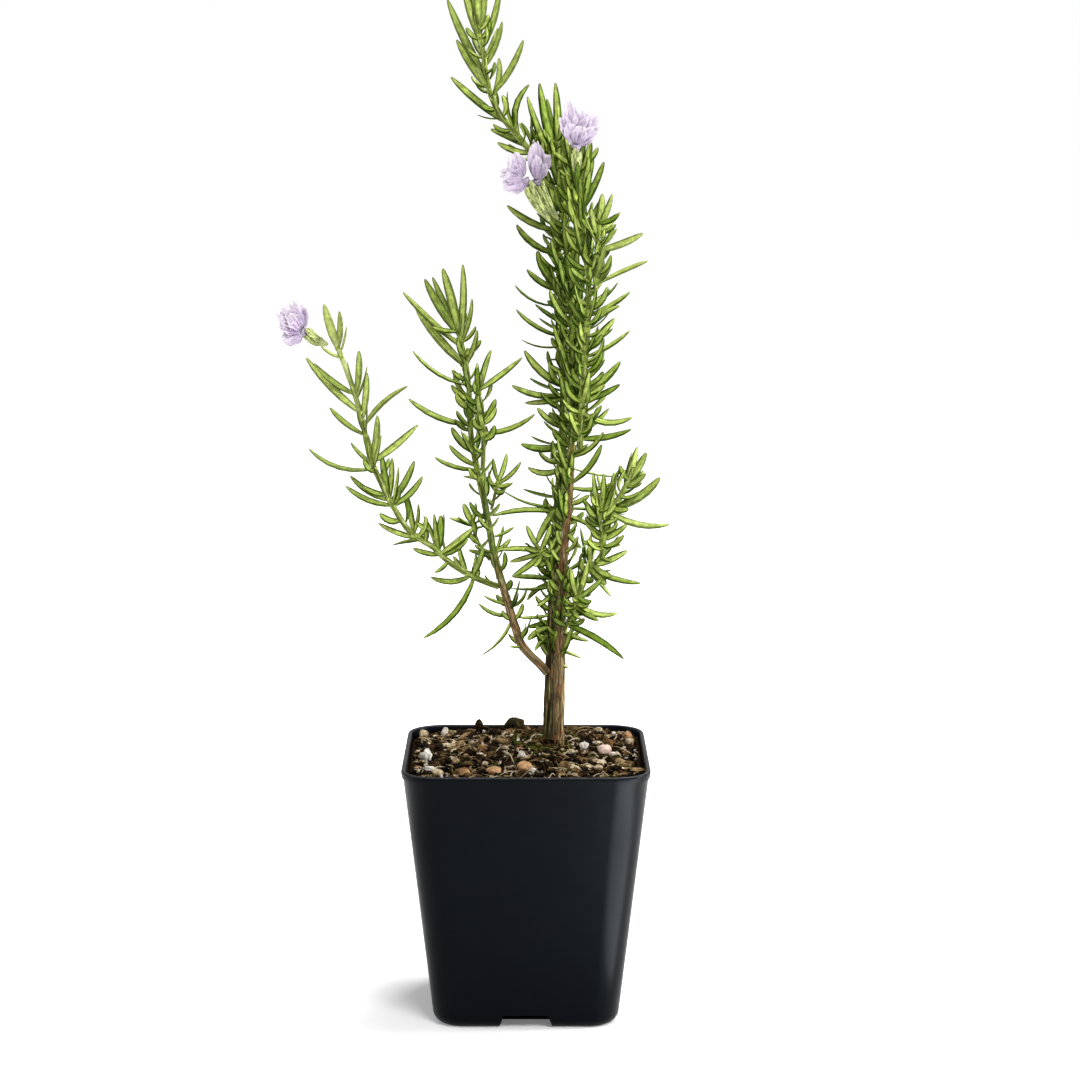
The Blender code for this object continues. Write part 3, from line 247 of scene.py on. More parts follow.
def close_tubes(rings: np.ndarray, **marks: np.ndarray | float) -> Skin:
    """Skin a batch of tubes and close both ends with a fan to the middle of the end ring.

    Args:
        rings: Points with axes (piece, ring, side, xyz), anticlockwise seen from the far end.
        marks: Values that broadcast to (piece, ring, side), or with a last axis of 3.

    Returns:
        The closed skin.
    """
    count, rows, sides = rings.shape[:3]
    each = rows * sides + 2
    base = np.arange(count)[:, None, None] * each
    row = np.arange(rows - 1)[None, :, None] * sides
    side = np.arange(sides)[None, None, :]
    after = (side + 1) % sides
    quads = np.stack([base + row + side, base + row + after,
                      base + row + sides + after, base + row + sides + side], axis=-1)
    base, side, after = base[:, 0], side[0], after[0]
    last = (rows - 1) * sides
    head = base + last
    fans = [np.stack(np.broadcast_arrays(*corners), axis=-1).reshape(-1, 3)
            for corners in ((base + after, base + side, base + each - 2),
                            (head + side, head + after, base + each - 1))]

    def with_poles(values: np.ndarray) -> np.ndarray:
        """Add the two end middles after a tube's own values."""
        flat = values.reshape(count, rows * sides, -1)
        ends = [values[:, k].reshape(count, sides, -1).mean(axis=1, keepdims=True) for k in (0, -1)]
        return np.concatenate([flat] + ends, axis=1)

    return Skin(with_poles(rings).reshape(-1, 3), quads.reshape(-1, 4), np.concatenate(fans),
                spread_marks(marks, rings.shape[:3], with_poles))


def close_sheets(sheet: np.ndarray, thickness: float, **marks: np.ndarray | float) -> Skin:
    """Give a batch of open sheets a thickness.

    The front is the sheet moved half the thickness along its normal (across x along), the back is
    moved the other way, and a strip of quads joins their borders.

    Args:
        sheet: Points with axes (piece, row, across, xyz).
        thickness: Wall thickness.
        marks: Values that broadcast to (piece, row, across), or with a last axis of 3.

    Returns:
        The closed skin.
    """
    count, rows, columns = sheet.shape[:3]
    each = rows * columns
    normal = unit(np.cross(np.gradient(sheet, axis=2), np.gradient(sheet, axis=1))) * thickness / 2
    points = np.concatenate([sheet + normal, sheet - normal], axis=1).reshape(-1, 3)
    grid = np.arange(each).reshape(rows, columns)
    a, b, c, d = (k.ravel() for k in (grid[:-1, :-1], grid[:-1, 1:], grid[1:, 1:], grid[1:, :-1]))
    border = np.concatenate([grid[0, :-1], grid[:-1, -1], grid[-1, :0:-1], grid[:0:-1, 0]])
    after = np.roll(border, -1)
    faces = np.concatenate([np.stack([a, b, c, d], axis=-1), np.stack([a, d, c, b], axis=-1) + each,
                            np.stack([after, border, border + each, after + each], axis=-1)])
    quads = (faces[None] + np.arange(count)[:, None, None] * 2 * each).reshape(-1, 4)
    spread = spread_marks(marks, sheet.shape[:3], lambda full: np.concatenate([full, full], axis=1))
    return Skin(points, quads, np.empty((0, 3), dtype=int), spread)


@dataclass
class Course:
    """A smooth line with a radius that tapers along it."""

    points: np.ndarray
    reach: np.ndarray
    radii: tuple[float, float]

    @classmethod
    def through(cls, knots: Sequence[Knot], radii: tuple[float, float]) -> "Course":
        """A Catmull-Rom curve through the knots, read about every half millimetre.

        Args:
            knots: Points of the sheet.
            radii: Radius at the low end and at the high end.

        Returns:
            The course.
        """
        placed = [off_sheet(knot) for knot in knots]
        ends = np.array([placed[0]] + placed + [placed[-1]])
        rows = []
        for a, b, c, d in zip(ends, ends[1:], ends[2:], ends[3:]):
            steps = max(int(np.linalg.norm(c - b) * 2), 2)
            t = np.linspace(0, 1, steps, endpoint=False)[:, None]
            rows.append(0.5 * (2 * b + (c - a) * t + (2 * a - 5 * b + 4 * c - d) * t ** 2
                               + (3 * b - a - 3 * c + d) * t ** 3))
        points = np.concatenate(rows + [ends[-1:]])
        lengths = np.linalg.norm(np.diff(points, axis=0), axis=1)
        return cls(points, np.concatenate([[0.0], np.cumsum(lengths)]), radii)

    @property
    def length(self) -> float:
        """The whole length."""
        return float(self.reach[-1])

    def at(self, reach: np.ndarray) -> np.ndarray:
        """Points at distances along the course."""
        return np.stack([np.interp(reach, self.reach, axis) for axis in self.points.T], axis=-1)

    def way(self, reach: np.ndarray) -> np.ndarray:
        """Unit directions of growth at distances along the course."""
        low = np.clip(reach - 1.0, 0.0, self.length - 0.5)
        high = np.clip(reach + 1.0, 0.5, self.length)
        return unit(self.at(high) - self.at(low))

    def radius(self, reach: np.ndarray) -> np.ndarray:
        """Radii at distances along the course."""
        return np.interp(reach, (0.0, self.length), self.radii)

    def reach_at(self, height: np.ndarray) -> np.ndarray:
        """Distances at which the course reaches heights."""
        return np.interp(height, self.points[:, 2], self.reach)

    def frames(self, reach: np.ndarray) -> tuple[np.ndarray, np.ndarray]:
        """Two unit directions square to the course, right-handed with the way of growth."""
        way = self.way(reach)
        across = np.eye(3)[np.argmin(np.abs(way.mean(axis=0)))]
        first = unit(across - (way @ across)[:, None] * way)
        return first, np.cross(way, first)


# ------------------------------------------------------------------ the plant's own tables

# Each stem: its course as (x, depth, z), with x and z as on the sheet, and its radius at the low
# end and at the high end.
STEMS: dict[str, tuple[list[Knot], float, float]] = {
    "main_stem": (
        [(12.2, 5.0, 62), (12.2, 5.0, 86), (12.2, 5.0, 105), (12.6, 5.1, 130), (13.2, 5.4, 152),
         (13.9, 5.8, 170), (15.3, 6.2, 184), (16.2, 6.6, 200), (16.7, 7.2, 214), (17.0, 8.2, 228),
         (16.8, 9.5, 243), (16.2, 11.0, 258), (15.0, 12.2, 273), (13.6, 13.0, 288),
         (12.2, 13.4, 302), (10.6, 13.4, 316)], 2.1, 0.8),
    "arching_stem": (
        [(8.2, 10.4, 62), (8.2, 10.4, 86), (8.3, 10.6, 105), (9.2, 11.2, 130), (9.9, 12.0, 150),
         (10.8, 13.0, 168), (11.8, 13.8, 185), (12.8, 14.6, 200), (13.6, 15.4, 215),
         (13.8, 16.2, 230), (13.6, 17.2, 245), (12.8, 18.2, 260), (11.6, 19.0, 275),
         (10.2, 19.0, 291), (7.6, 17.6, 302), (2.4, 15.2, 311), (-5.0, 11.6, 320),
         (-9.4, 9.0, 325.5), (-12.4, 6.4, 332), (-14.2, 3.6, 339), (-15.0, 1.0, 346),
         (-16.4, -1.4, 353), (-17.6, -3.6, 360)], 1.9, 0.75),
    "flower_stem": (
        [(19.6, 3.6, 207), (20.0, 1.0, 217), (20.6, -2.0, 228), (21.5, -4.6, 240),
         (22.3, -6.6, 251), (22.6, -7.8, 261), (22.1, -8.0, 270), (20.9, -7.2, 280),
         (19.4, -6.0, 292), (18.4, -5.0, 303), (17.8, -4.4, 312)], 1.2, 0.8),
    "right_sprig": (
        [(25.0, -9.6, 264.6), (25.3, -11.4, 272), (25.7, -13.4, 280), (26.4, -15.2, 288)],
        0.8, 0.6),
    "left_stem": (
        [(5.0, 8.0, 126.2), (3.0, 6.8, 128.6), (0.0, 6.2, 131.2), (-2.1, 6.4, 134.2),
         (-3.6, 7.2, 138.8), (-5.0, 8.2, 143), (-6.1, 9.2, 147), (-7.6, 10.4, 152),
         (-9.0, 11.6, 157), (-10.4, 12.8, 162), (-11.9, 14.2, 168), (-12.9, 15.6, 174),
         (-14.0, 16.8, 180), (-15.2, 17.8, 186.5), (-16.8, 18.8, 193.5), (-18.3, 19.6, 201),
         (-19.6, 20.2, 208), (-20.3, 20.6, 216), (-20.5, 20.6, 225), (-21.0, 20.2, 232),
         (-22.4, 19.4, 240), (-24.4, 18.4, 248)], 1.55, 0.75),
    "left_fork": (
        [(-15.6, 16.0, 199), (-15.4, 12.4, 206), (-15.6, 9.0, 213), (-16.8, 6.0, 220),
         (-16.9, 3.4, 227), (-16.0, 1.6, 232)], 0.85, 0.65),
    "left_twig": (
        [(-12.2, 14.6, 184.5), (-11.2, 11.6, 189), (-10.2, 8.6, 194)], 0.6, 0.5),
    "far_left_stem": (
        [(-11.4, 8.0, 155.2), (-16.8, 5.0, 157.2), (-21.4, 2.0, 159.5), (-26.0, -1.2, 162.3),
         (-30.2, -4.2, 165.7), (-33.8, -7.0, 169.2), (-38.6, -10.0, 172.2), (-42.6, -12.4, 175.4),
         (-45.4, -14.2, 179.4), (-47.8, -15.8, 183.4), (-50.2, -17.2, 187.8),
         (-52.3, -18.4, 192.2), (-54.6, -19.4, 197.2), (-56.6, -20.2, 202.4),
         (-57.8, -20.8, 208.2), (-58.9, -21.0, 214.2), (-60.4, -21.0, 220.2),
         (-62.3, -20.6, 226.7), (-64.4, -20.0, 232.8), (-66.4, -19.2, 238.2),
         (-68.4, -18.2, 243.2), (-69.8, -17.4, 246.6)], 0.95, 0.75),
    "left_spur": (
        [(-14.0, 16.4, 165.8), (-16.4, 19.4, 169.2), (-18.3, 22.2, 173.4), (-19.6, 24.4, 178.4)],
        0.7, 0.6),
    "right_low_stem": (
        [(16.4, 3.2, 154), (18.6, 0.2, 157.4), (22.0, -3.8, 161), (25.6, -7.4, 163.8),
         (27.9, -10.0, 167.6), (28.3, -12.0, 173), (28.9, -13.6, 179), (31.0, -15.2, 184),
         (34.2, -16.8, 188.4), (37.2, -18.2, 193.4), (39.0, -19.4, 198.6)], 1.0, 0.7),
    "right_spur": (
        [(27.2, -15.0, 177), (26.9, -17.8, 183), (26.5, -20.4, 189)], 0.65, 0.55),
    "inner_left_shoot": (
        [(8.6, 8.0, 163.6), (6.8, 3.0, 166), (5.2, -3.0, 168.4), (4.0, -9.0, 170.4)],
        0.75, 0.6),
    "inner_right_shoot": (
        [(14.8, 2.0, 139.6), (16.8, -3.0, 145), (18.8, -8.0, 150.4), (20.4, -12.6, 155)],
        0.75, 0.6),
}

# Stretches of stem, as heights, that bear leaf pairs pointing forward and back, each with its set.
PAIRS: tuple[tuple[str, float, float], ...] = (
    ("main_leaves_low", 128, 142), ("main_leaves_middle", 178, 201),
    ("main_leaves_upper", 217, 275), ("crown_tuft", 289, 306),
    ("arching_leaves_low", 130, 157), ("arching_leaves_cross", 182, 205),
    ("arching_leaves_fan", 212, 235), ("arching_leaves_upper", 243, 284),
    ("arching_leaves_spread", 312, 322), ("arching_tuft", 333, 353),
    ("flower_leaves_low", 210, 230), ("flower_leaves_middle", 240, 255), ("flower_tuft", 273, 300),
    ("right_sprig_leaves", 268, 284), ("left_leaves_low", 134, 147),
    ("left_leaves_middle", 165, 202), ("left_leaves_wing", 213, 226),
    ("left_tuft", 234, 246), ("left_fork_leaves", 212, 226),
    ("far_left_leaves_low", 159, 161), ("far_left_leaves_bend", 169, 176),
    ("far_left_leaves_middle", 188, 190), ("far_left_leaves_upper", 202, 228),
    ("right_low_leaves", 164, 176), ("right_low_tuft", 186, 195),
)

# Leaves of each set: height of the base on the stem, the tip's x and z, how far the middle bows
# outwards and down from the straight line, the width, and the tip's depth in front of the stem (-)
# or behind it (+).
LEAF_SETS: dict[str, tuple[str, list[tuple[float, ...]]]] = {
    "main_leaves_low": ("main_stem", [
        (141.5, 36.2, 127.4, -1.6, 2.2, -5), (138.5, 23.3, 134.4, 0.3, 2.6, -4),
        (131, 20.6, 127.8, -0.5, 1.5, -3), (126.5, 15.6, 124.6, 0.2, 1.4, -2),
        (134, 19, 141, 0.6, 1.8, 7), (140, 14, 152, 0.4, 1.8, -7)]),
    "main_leaves_middle": ("main_stem", [
        (176, 20.3, 168.8, 0.4, 1.8, -3), (181, 24.8, 176.2, -0.5, 1.6, -4),
        (183.5, 36.8, 181, -0.8, 2, -9), (186, 20.2, 189.4, 0.3, 1.4, 4),
        (179, 12, 189, 0.6, 1.8, -6),
        (191.5, 31.8, 193.2, 1.8, 2, -4), (192.5, 27.6, 207.2, 1.6, 2.2, -6),
        (198.5, 35.2, 195.2, 0.9, 1.8, 3), (196, 11.5, 209, 0.8, 1.8, -8),
        (202.5, 28.2, 211.8, 1.8, 2.2, -9)]),
    "main_leaves_upper": ("main_stem", [
        (217, 12.6, 232, 0.6, 2.2, -8), (218, 21, 233, 0.6, 2, -9),
        (227, 12.9, 243.2, 0.5, 2.6, -6), (228, 19.4, 244, 0.4, 2.2, -7),
        (236, 10.2, 250, 1.2, 2.2, -8), (237, 17, 254, 0.4, 2, -9),
        (229, 20, 246, 0.3, 2, 8),
        (250, 8.5, 263, 1.2, 2.4, -9), (251, 20, 266, 0.6, 2.2, -8),
        (258, 12, 274, 0.6, 2.4, -9), (259, 18.6, 277, 0.3, 2.2, -8),
        (266, 9, 281, 1, 2.2, -7), (267, 18, 284, 0.3, 2.2, -7),
        (274, 14.2, 292, 0.4, 2.2, -8), (275, 9.2, 291, 0.6, 2, 6)]),
    "crown_tuft": ("main_stem", [
        (288, 11.6, 307, 0.3, 2.2, -6), (290, 15.6, 312, 0.3, 2.2, -4),
        (296, 13.2, 318, 0.2, 2.2, -4), (298, 7.8, 315, 0.5, 2, -5),
        (302, 1.4, 321.4, 0.4, 2.2, 3), (304, 0.4, 332, 0.9, 2.4, -2),
        (306, 4.8, 336.8, 0.7, 3, -1), (308, 10.4, 336.8, -0.4, 2.6, 1),
        (311, 7.4, 331, 0.2, 2.2, 4), (303, 12.6, 322, 0.4, 2.2, 4)]),
    "arching_leaves_low": ("arching_stem", [
        (127.5, 5.2, 134, 0.3, 1.6, -4), (128.5, 7.6, 137, 0.2, 1.6, -8),
        (136.5, 3.2, 130.6, -0.9, 2.2, -6), (139, 0.5, 134.8, -0.9, 2.6, -4),
        (141.5, 0.2, 139.6, 0.4, 1.8, 2), (143.5, -3.2, 143.4, 0.6, 1.6, -2),
        (145, 4.2, 151, 1.4, 1.6, 3), (133, 4.6, 141.5, 0.6, 1.8, 6),
        (152.5, 3.8, 147.4, 0.8, 1.6, -5), (154, -6.2, 154.2, 0.8, 2, -3),
        (155, 0.4, 149.4, -1.6, 1.8, 3), (156.5, -5.4, 158.4, -0.5, 2, 3),
        (158, 4.6, 161, 0.3, 1.6, -6), (155.5, 16, 163, 0.6, 1.8, 6)]),
    "arching_leaves_cross": ("arching_stem", [
        (181, -12.8, 180.6, -1.8, 2, -3), (183, -9.6, 191, 2, 1.9, 1),
        (183.5, 3.6, 169.8, -0.9, 2.6, -9), (186.5, -1.2, 190.7, 0.4, 2, 5),
        (180, 6.5, 190, 0.8, 1.8, 8),
        (197, 0.5, 198.6, 1.9, 2, -2), (199.5, 4.5, 205.2, 1.7, 2.2, 3),
        (205.5, -2, 207.2, 1.4, 2.6, -1), (206, 1.8, 210, 0.9, 1.5, 5)]),
    "arching_leaves_fan": ("arching_stem", [
        (212, 4, 220.4, 0.8, 2.2, -2), (213, 9.3, 218.6, 0.3, 1.8, -7),
        (222.5, -0.6, 222, 0.3, 1.8, 3), (224, -5.4, 228.6, 1.8, 2.3, -1),
        (225.5, 1.2, 231.2, 0.8, 2, 4), (227, -0.7, 241.3, 1.5, 2.7, -3),
        (236.5, 7.8, 237.6, -0.3, 1.5, -3)]),
    "arching_leaves_upper": ("arching_stem", [
        (242, -2, 245.2, 1.7, 2, -2), (245, -3.7, 256, 1.6, 2.2, -4),
        (247, 4.6, 252.8, 0.4, 1.5, 5), (250, 3.2, 257.8, 0.2, 1.6, 2),
        (256.5, -4.1, 264.8, 2.6, 2.2, -2), (262, 0.2, 270.4, 1.2, 2.4, 2),
        (262.5, 4, 277, 1.3, 3, -3),
        (275, -3.5, 286.4, 2, 2.8, -3), (278, 5.8, 282.2, -0.8, 1.5, 3),
        (283.5, -7, 293.2, 1.5, 2.2, -2), (285, 3.8, 290.4, 0.4, 2.2, 4)]),
    "arching_leaves_spread": ("arching_stem", [
        (311.5, -10.3, 315.4, 1, 2, -3), (314, -12.8, 320, -0.6, 2.3, 2),
        (317.5, -6.5, 333.6, 1.6, 2, 1), (316.5, 1.5, 336, -3.6, 2, 3),
        (322.5, -27, 338.7, 0.6, 2.4, -2)]),
    "arching_tuft": ("arching_stem", [
        (331, -9.7, 345.3, 1.2, 2, 3), (332, -0.8, 351.7, 1.2, 2.3, -2),
        (334, -24.8, 351.8, 0.6, 2.5, -2), (337, -28, 366, 0.8, 2.6, 2),
        (342, -8.4, 358, 0.8, 2, -1),
        (348.5, -9.2, 369.5, 0.9, 2.2, 1), (351, -22.2, 369.6, 0.3, 2.4, -1),
        (354, -19.8, 374.2, 0, 2.4, 2), (356, -17.2, 377, 0, 2.4, -2),
        (353, -14.4, 372.6, 0.3, 2.2, -2)]),
    "flower_leaves_low": ("flower_stem", [
        (209.5, 38.4, 212.6, 1.2, 2.2, -3), (212, 30.2, 220.2, 0.9, 1.8, 3),
        (219.5, 38.8, 217, 3, 2.2, 1), (223.5, 34.2, 228.9, 0.8, 2, -3),
        (226, 34.2, 237.4, 1, 3, 2), (230.5, 28.6, 237.9, 0.3, 1.6, -5)]),
    "flower_leaves_middle": ("flower_stem", [
        (239.5, 37.6, 248.4, 0.9, 2.2, -2), (243, 32.2, 252.8, 0.4, 2.3, 2),
        (249.5, 34, 257.2, -1.4, 2.2, -3), (254.5, 37.6, 262.3, 0.7, 2.2, 1),
        (256, 33.2, 265.7, 0.6, 1.6, 6), (252, 17.5, 265, 0.6, 2, -8)]),
    "flower_tuft": ("flower_stem", [
        (272, 17.2, 290, 0.4, 2.2, -8), (274, 23, 291, 0.4, 2, -7),
        (282, 14.8, 300, 0.5, 2.2, -7), (284, 19.6, 303, 0.3, 2.2, -8),
        (291, 28, 308.8, 0.4, 2.3, -2), (291, 22.8, 305.2, 0.5, 2.2, -6),
        (294, 24, 311.6, 0.5, 2.2, 2), (296, 15.8, 315, 0.2, 2.2, -5),
        (299, 23.2, 316.6, 0.6, 2.4, -3), (300, 13.8, 319, 0.3, 2, -2),
        (303, 20.8, 319.6, 0.2, 2.2, 3), (302, 18.4, 317, 0, 2.2, -5)]),
    "right_sprig_leaves": ("right_sprig", [
        (265.5, 44, 273.3, -0.6, 2.2, -2), (266.5, 30.4, 273.9, 0.6, 2.8, 2),
        (267.5, 27.8, 276, 0.3, 1.6, -4),
        (278, 42.2, 283.2, 0.9, 2.3, -2), (279.5, 32.6, 284.9, 0.3, 1.9, 3),
        (285, 34, 290.7, 0.6, 2, 0), (284, 27.4, 297.4, 0.2, 2.6, 3),
        (286, 31, 297.2, 0.5, 2, -2), (283, 23.4, 292, 0.4, 2, -3)]),
    "left_leaves_low": ("left_stem", [
        (132.5, -6, 132.4, 0.1, 1.3, -2), (134.5, -0.2, 141.6, 0.6, 1.4, -3),
        (142.6, -17.3, 128.7, 1.9, 2, -3), (143.6, -17.3, 148.5, 1.5, 1.8, 2),
        (146.5, 0.2, 154.6, 1.7, 1.7, -3), (147.5, -15.6, 151.4, 0.4, 1.6, -3)]),
    "left_leaves_middle": ("left_stem", [
        (164, -21.2, 168.2, -0.3, 1.7, 3), (163, -7.8, 171, 0.5, 1.5, -5),
        (171.5, -4.3, 176.8, 0.5, 1.6, 2), (174.5, -9.8, 180.6, 0.3, 1.5, 6),
        (192.5, -22.9, 195.2, -0.3, 1.7, -3), (196, -33.3, 202.4, 1.2, 1.9, 2),
        (197.5, -28, 206.9, 0.9, 1.9, -2), (202.5, -27, 213.4, 0.9, 2.5, 2)]),
    "left_leaves_wing": ("left_stem", [
        (212.5, -42.7, 223.8, 2, 2.2, -1), (212, -25.2, 219.2, 0.5, 2.7, -4),
        (221.5, -27.1, 228.6, 0.6, 2, 3), (227, -41, 241.2, 2.3, 2.2, -1)]),
    "left_tuft": ("left_stem", [
        (234, -40, 256.6, 0.9, 2.8, 3), (235, -17.5, 248.6, 0.6, 2.2, -2),
        (241, -44.5, 262.4, 0.5, 2.5, -2), (243, -19.4, 259.9, 0.8, 2, 3),
        (244, -22.7, 272.4, 0.6, 2.3, -2), (246, -36.5, 267.1, 0.7, 2.8, 1),
        (247, -33.7, 267.8, 0.2, 2.2, 4), (247, -30, 270.9, -0.3, 2.9, -2)]),
    "left_fork_leaves": ("left_fork", [
        (210.5, 3.5, 218.2, 1.7, 2.1, -3), (214, -10.9, 223.6, 0.5, 2.3, 2),
        (225.5, -12.4, 241.4, -0.5, 2, 2), (227, -1, 238.8, 0.3, 2.1, -3)]),
    "left_twig_tuft": ("left_twig", [
        (192.5, -7, 203.8, 0.6, 1.6, 2), (192, -1.7, 200.7, 0.9, 1.5, -3),
        (191, -14.3, 195.2, 0.3, 1.5, -4), (193.5, -12, 202, 0.2, 1.5, -5)]),
    "far_left_leaves_low": ("far_left_stem", [
        (158.6, -38, 135.4, 3, 2.1, -2), (159.3, -35, 158.3, 2, 1.9, 2),
        (160.3, -24.5, 170.2, 0.5, 2, -2), (158.9, -18.3, 163.6, 0.2, 2, -3),
        (160.8, -26.6, 166, 0.3, 1.8, 4)]),
    "far_left_leaves_bend": ("far_left_stem", [
        (168.3, -41.3, 168.9, 0.6, 1.8, -3), (169.6, -31, 181.2, 0.4, 2.6, 2),
        (169.6, -37.4, 181, -0.4, 2, -2), (168.6, -19, 176.4, 0.4, 2.6, -3),
        (168, -21, 172.6, 0.8, 2.2, 3),
        (175.2, -54, 178.2, 0.9, 1.8, -2), (174.4, -49.2, 169.8, -0.5, 1.7, 3),
        (176.2, -43.2, 188.6, 0.1, 2, 2), (176.6, -39.2, 185.4, 0.7, 1.8, -2),
        (175.4, -36.4, 180.6, 1.1, 1.9, -4)]),
    "far_left_leaves_middle": ("far_left_stem", [
        (187.8, -65.6, 191.9, 1.6, 1.9, -2), (189.6, -64, 195.7, 1.3, 1.9, 2),
        (190.4, -52.4, 203.8, 0.2, 2.2, -2), (190, -48.6, 202.2, 0.2, 2, 2),
        (189, -40.4, 201.2, 0.9, 2.3, -2), (187.6, -37.4, 195.5, 1.3, 2, 2)]),
    "far_left_leaves_upper": ("far_left_stem", [
        (201.4, -79, 205.7, 3.3, 2, -2), (203, -63.5, 207.7, 0.5, 1.4, 3),
        (203.6, -38.8, 214.3, 0.7, 2.2, 1), (203.8, -53.8, 217.8, 0.5, 2.6, -2),
        (213.5, -71.1, 220.5, 0.9, 1.9, -2), (216.5, -42.3, 228.3, -1.8, 2.3, 1),
        (219, -57.4, 233.2, 0.4, 2.1, -2), (221.5, -79.6, 238.8, 1, 2.3, 2),
        (227.5, -60.3, 241.2, 0.5, 2.4, 2), (228, -76.6, 236.6, 1.3, 1.9, -4)]),
    "far_left_buds": ("far_left_stem", [
        (240.5, -74, 242.8, 0.5, 1.4, 3), (242, -64.6, 249.8, 0.3, 1.3, -2),
        (244, -72.8, 258, 0.3, 2.7, 1), (244, -67.2, 255.4, 0.4, 2.7, -1)]),
    "left_spur_tuft": ("left_spur", [
        (174.5, -28, 180.1, -0.3, 1.9, -2), (175.5, -22.8, 185.5, 0.2, 2.2, 2),
        (175.5, -18.2, 185.5, 0.1, 2, -3), (174, -14.9, 177.2, 0.3, 1.6, -4)]),
    "right_low_leaves": ("right_low_stem", [
        (163.2, 42.3, 155.9, 1, 2, -2), (164.4, 37.2, 168.1, 0.7, 2.2, 2),
        (163.6, 29.4, 155.2, -0.2, 2.8, -4), (162.8, 31.2, 150.8, -0.4, 1.6, 3),
        (163.4, 21, 170, 0.6, 1.8, 4),
        (172, 35.7, 173.8, 0.9, 2, -2), (174.6, 37, 178, 0.5, 1.9, 2),
        (173, 20.6, 171.4, 0.4, 1.8, -4), (176, 21.4, 178.6, 0.4, 1.8, 3)]),
    "right_low_tuft": ("right_low_stem", [
        (185.4, 52.7, 177.8, 2.4, 2.4, -2), (186.6, 48.9, 195.2, 1.9, 3.1, 1),
        (187.6, 32.1, 197, -0.3, 1.7, 3),
        (194.4, 38.5, 204.2, 0.1, 2.3, 2), (195.6, 40.5, 206.2, 0.1, 2.3, -2),
        (195.4, 43.8, 204.1, 0.3, 2.5, 1), (194, 43.6, 196.4, 0.4, 2, -3)]),
    "right_spur_tuft": ("right_spur", [
        (183.5, 24.4, 197, 0.5, 1.9, -2), (184.5, 28.2, 196.6, 0.4, 1.9, -4),
        (183, 20.6, 187.2, 0.4, 1.8, -3), (184, 31.8, 192.4, 0.7, 1.8, -2)]),
    "inner_left_tuft": ("inner_left_shoot", [
        (169, -10.2, 168.2, -0.8, 1.8, -3), (168, -5.2, 158.4, 0.6, 2, -4),
        (168.5, -6.2, 163.8, 0.3, 1.7, 1), (169.5, 0.2, 177.4, 0.4, 1.8, -5),
        (169.5, 9.2, 177.6, 0.4, 2, -6), (168.5, 9, 166, 0.4, 1.8, -9)]),
    "inner_right_tuft": ("inner_right_shoot", [
        (152.5, 28, 157.9, 0.5, 1.9, -2), (151.5, 33.8, 145, 2.6, 2, 1),
        (149.5, 26.8, 142, 0.2, 2.2, -4), (153, 16.4, 161.6, 0.5, 1.9, -5),
        (153.5, 22.8, 164.6, 0.4, 2, -4), (150, 14.2, 150, 0.4, 1.8, -7)]),
}


# ------------------------------------------------------------------ finishes

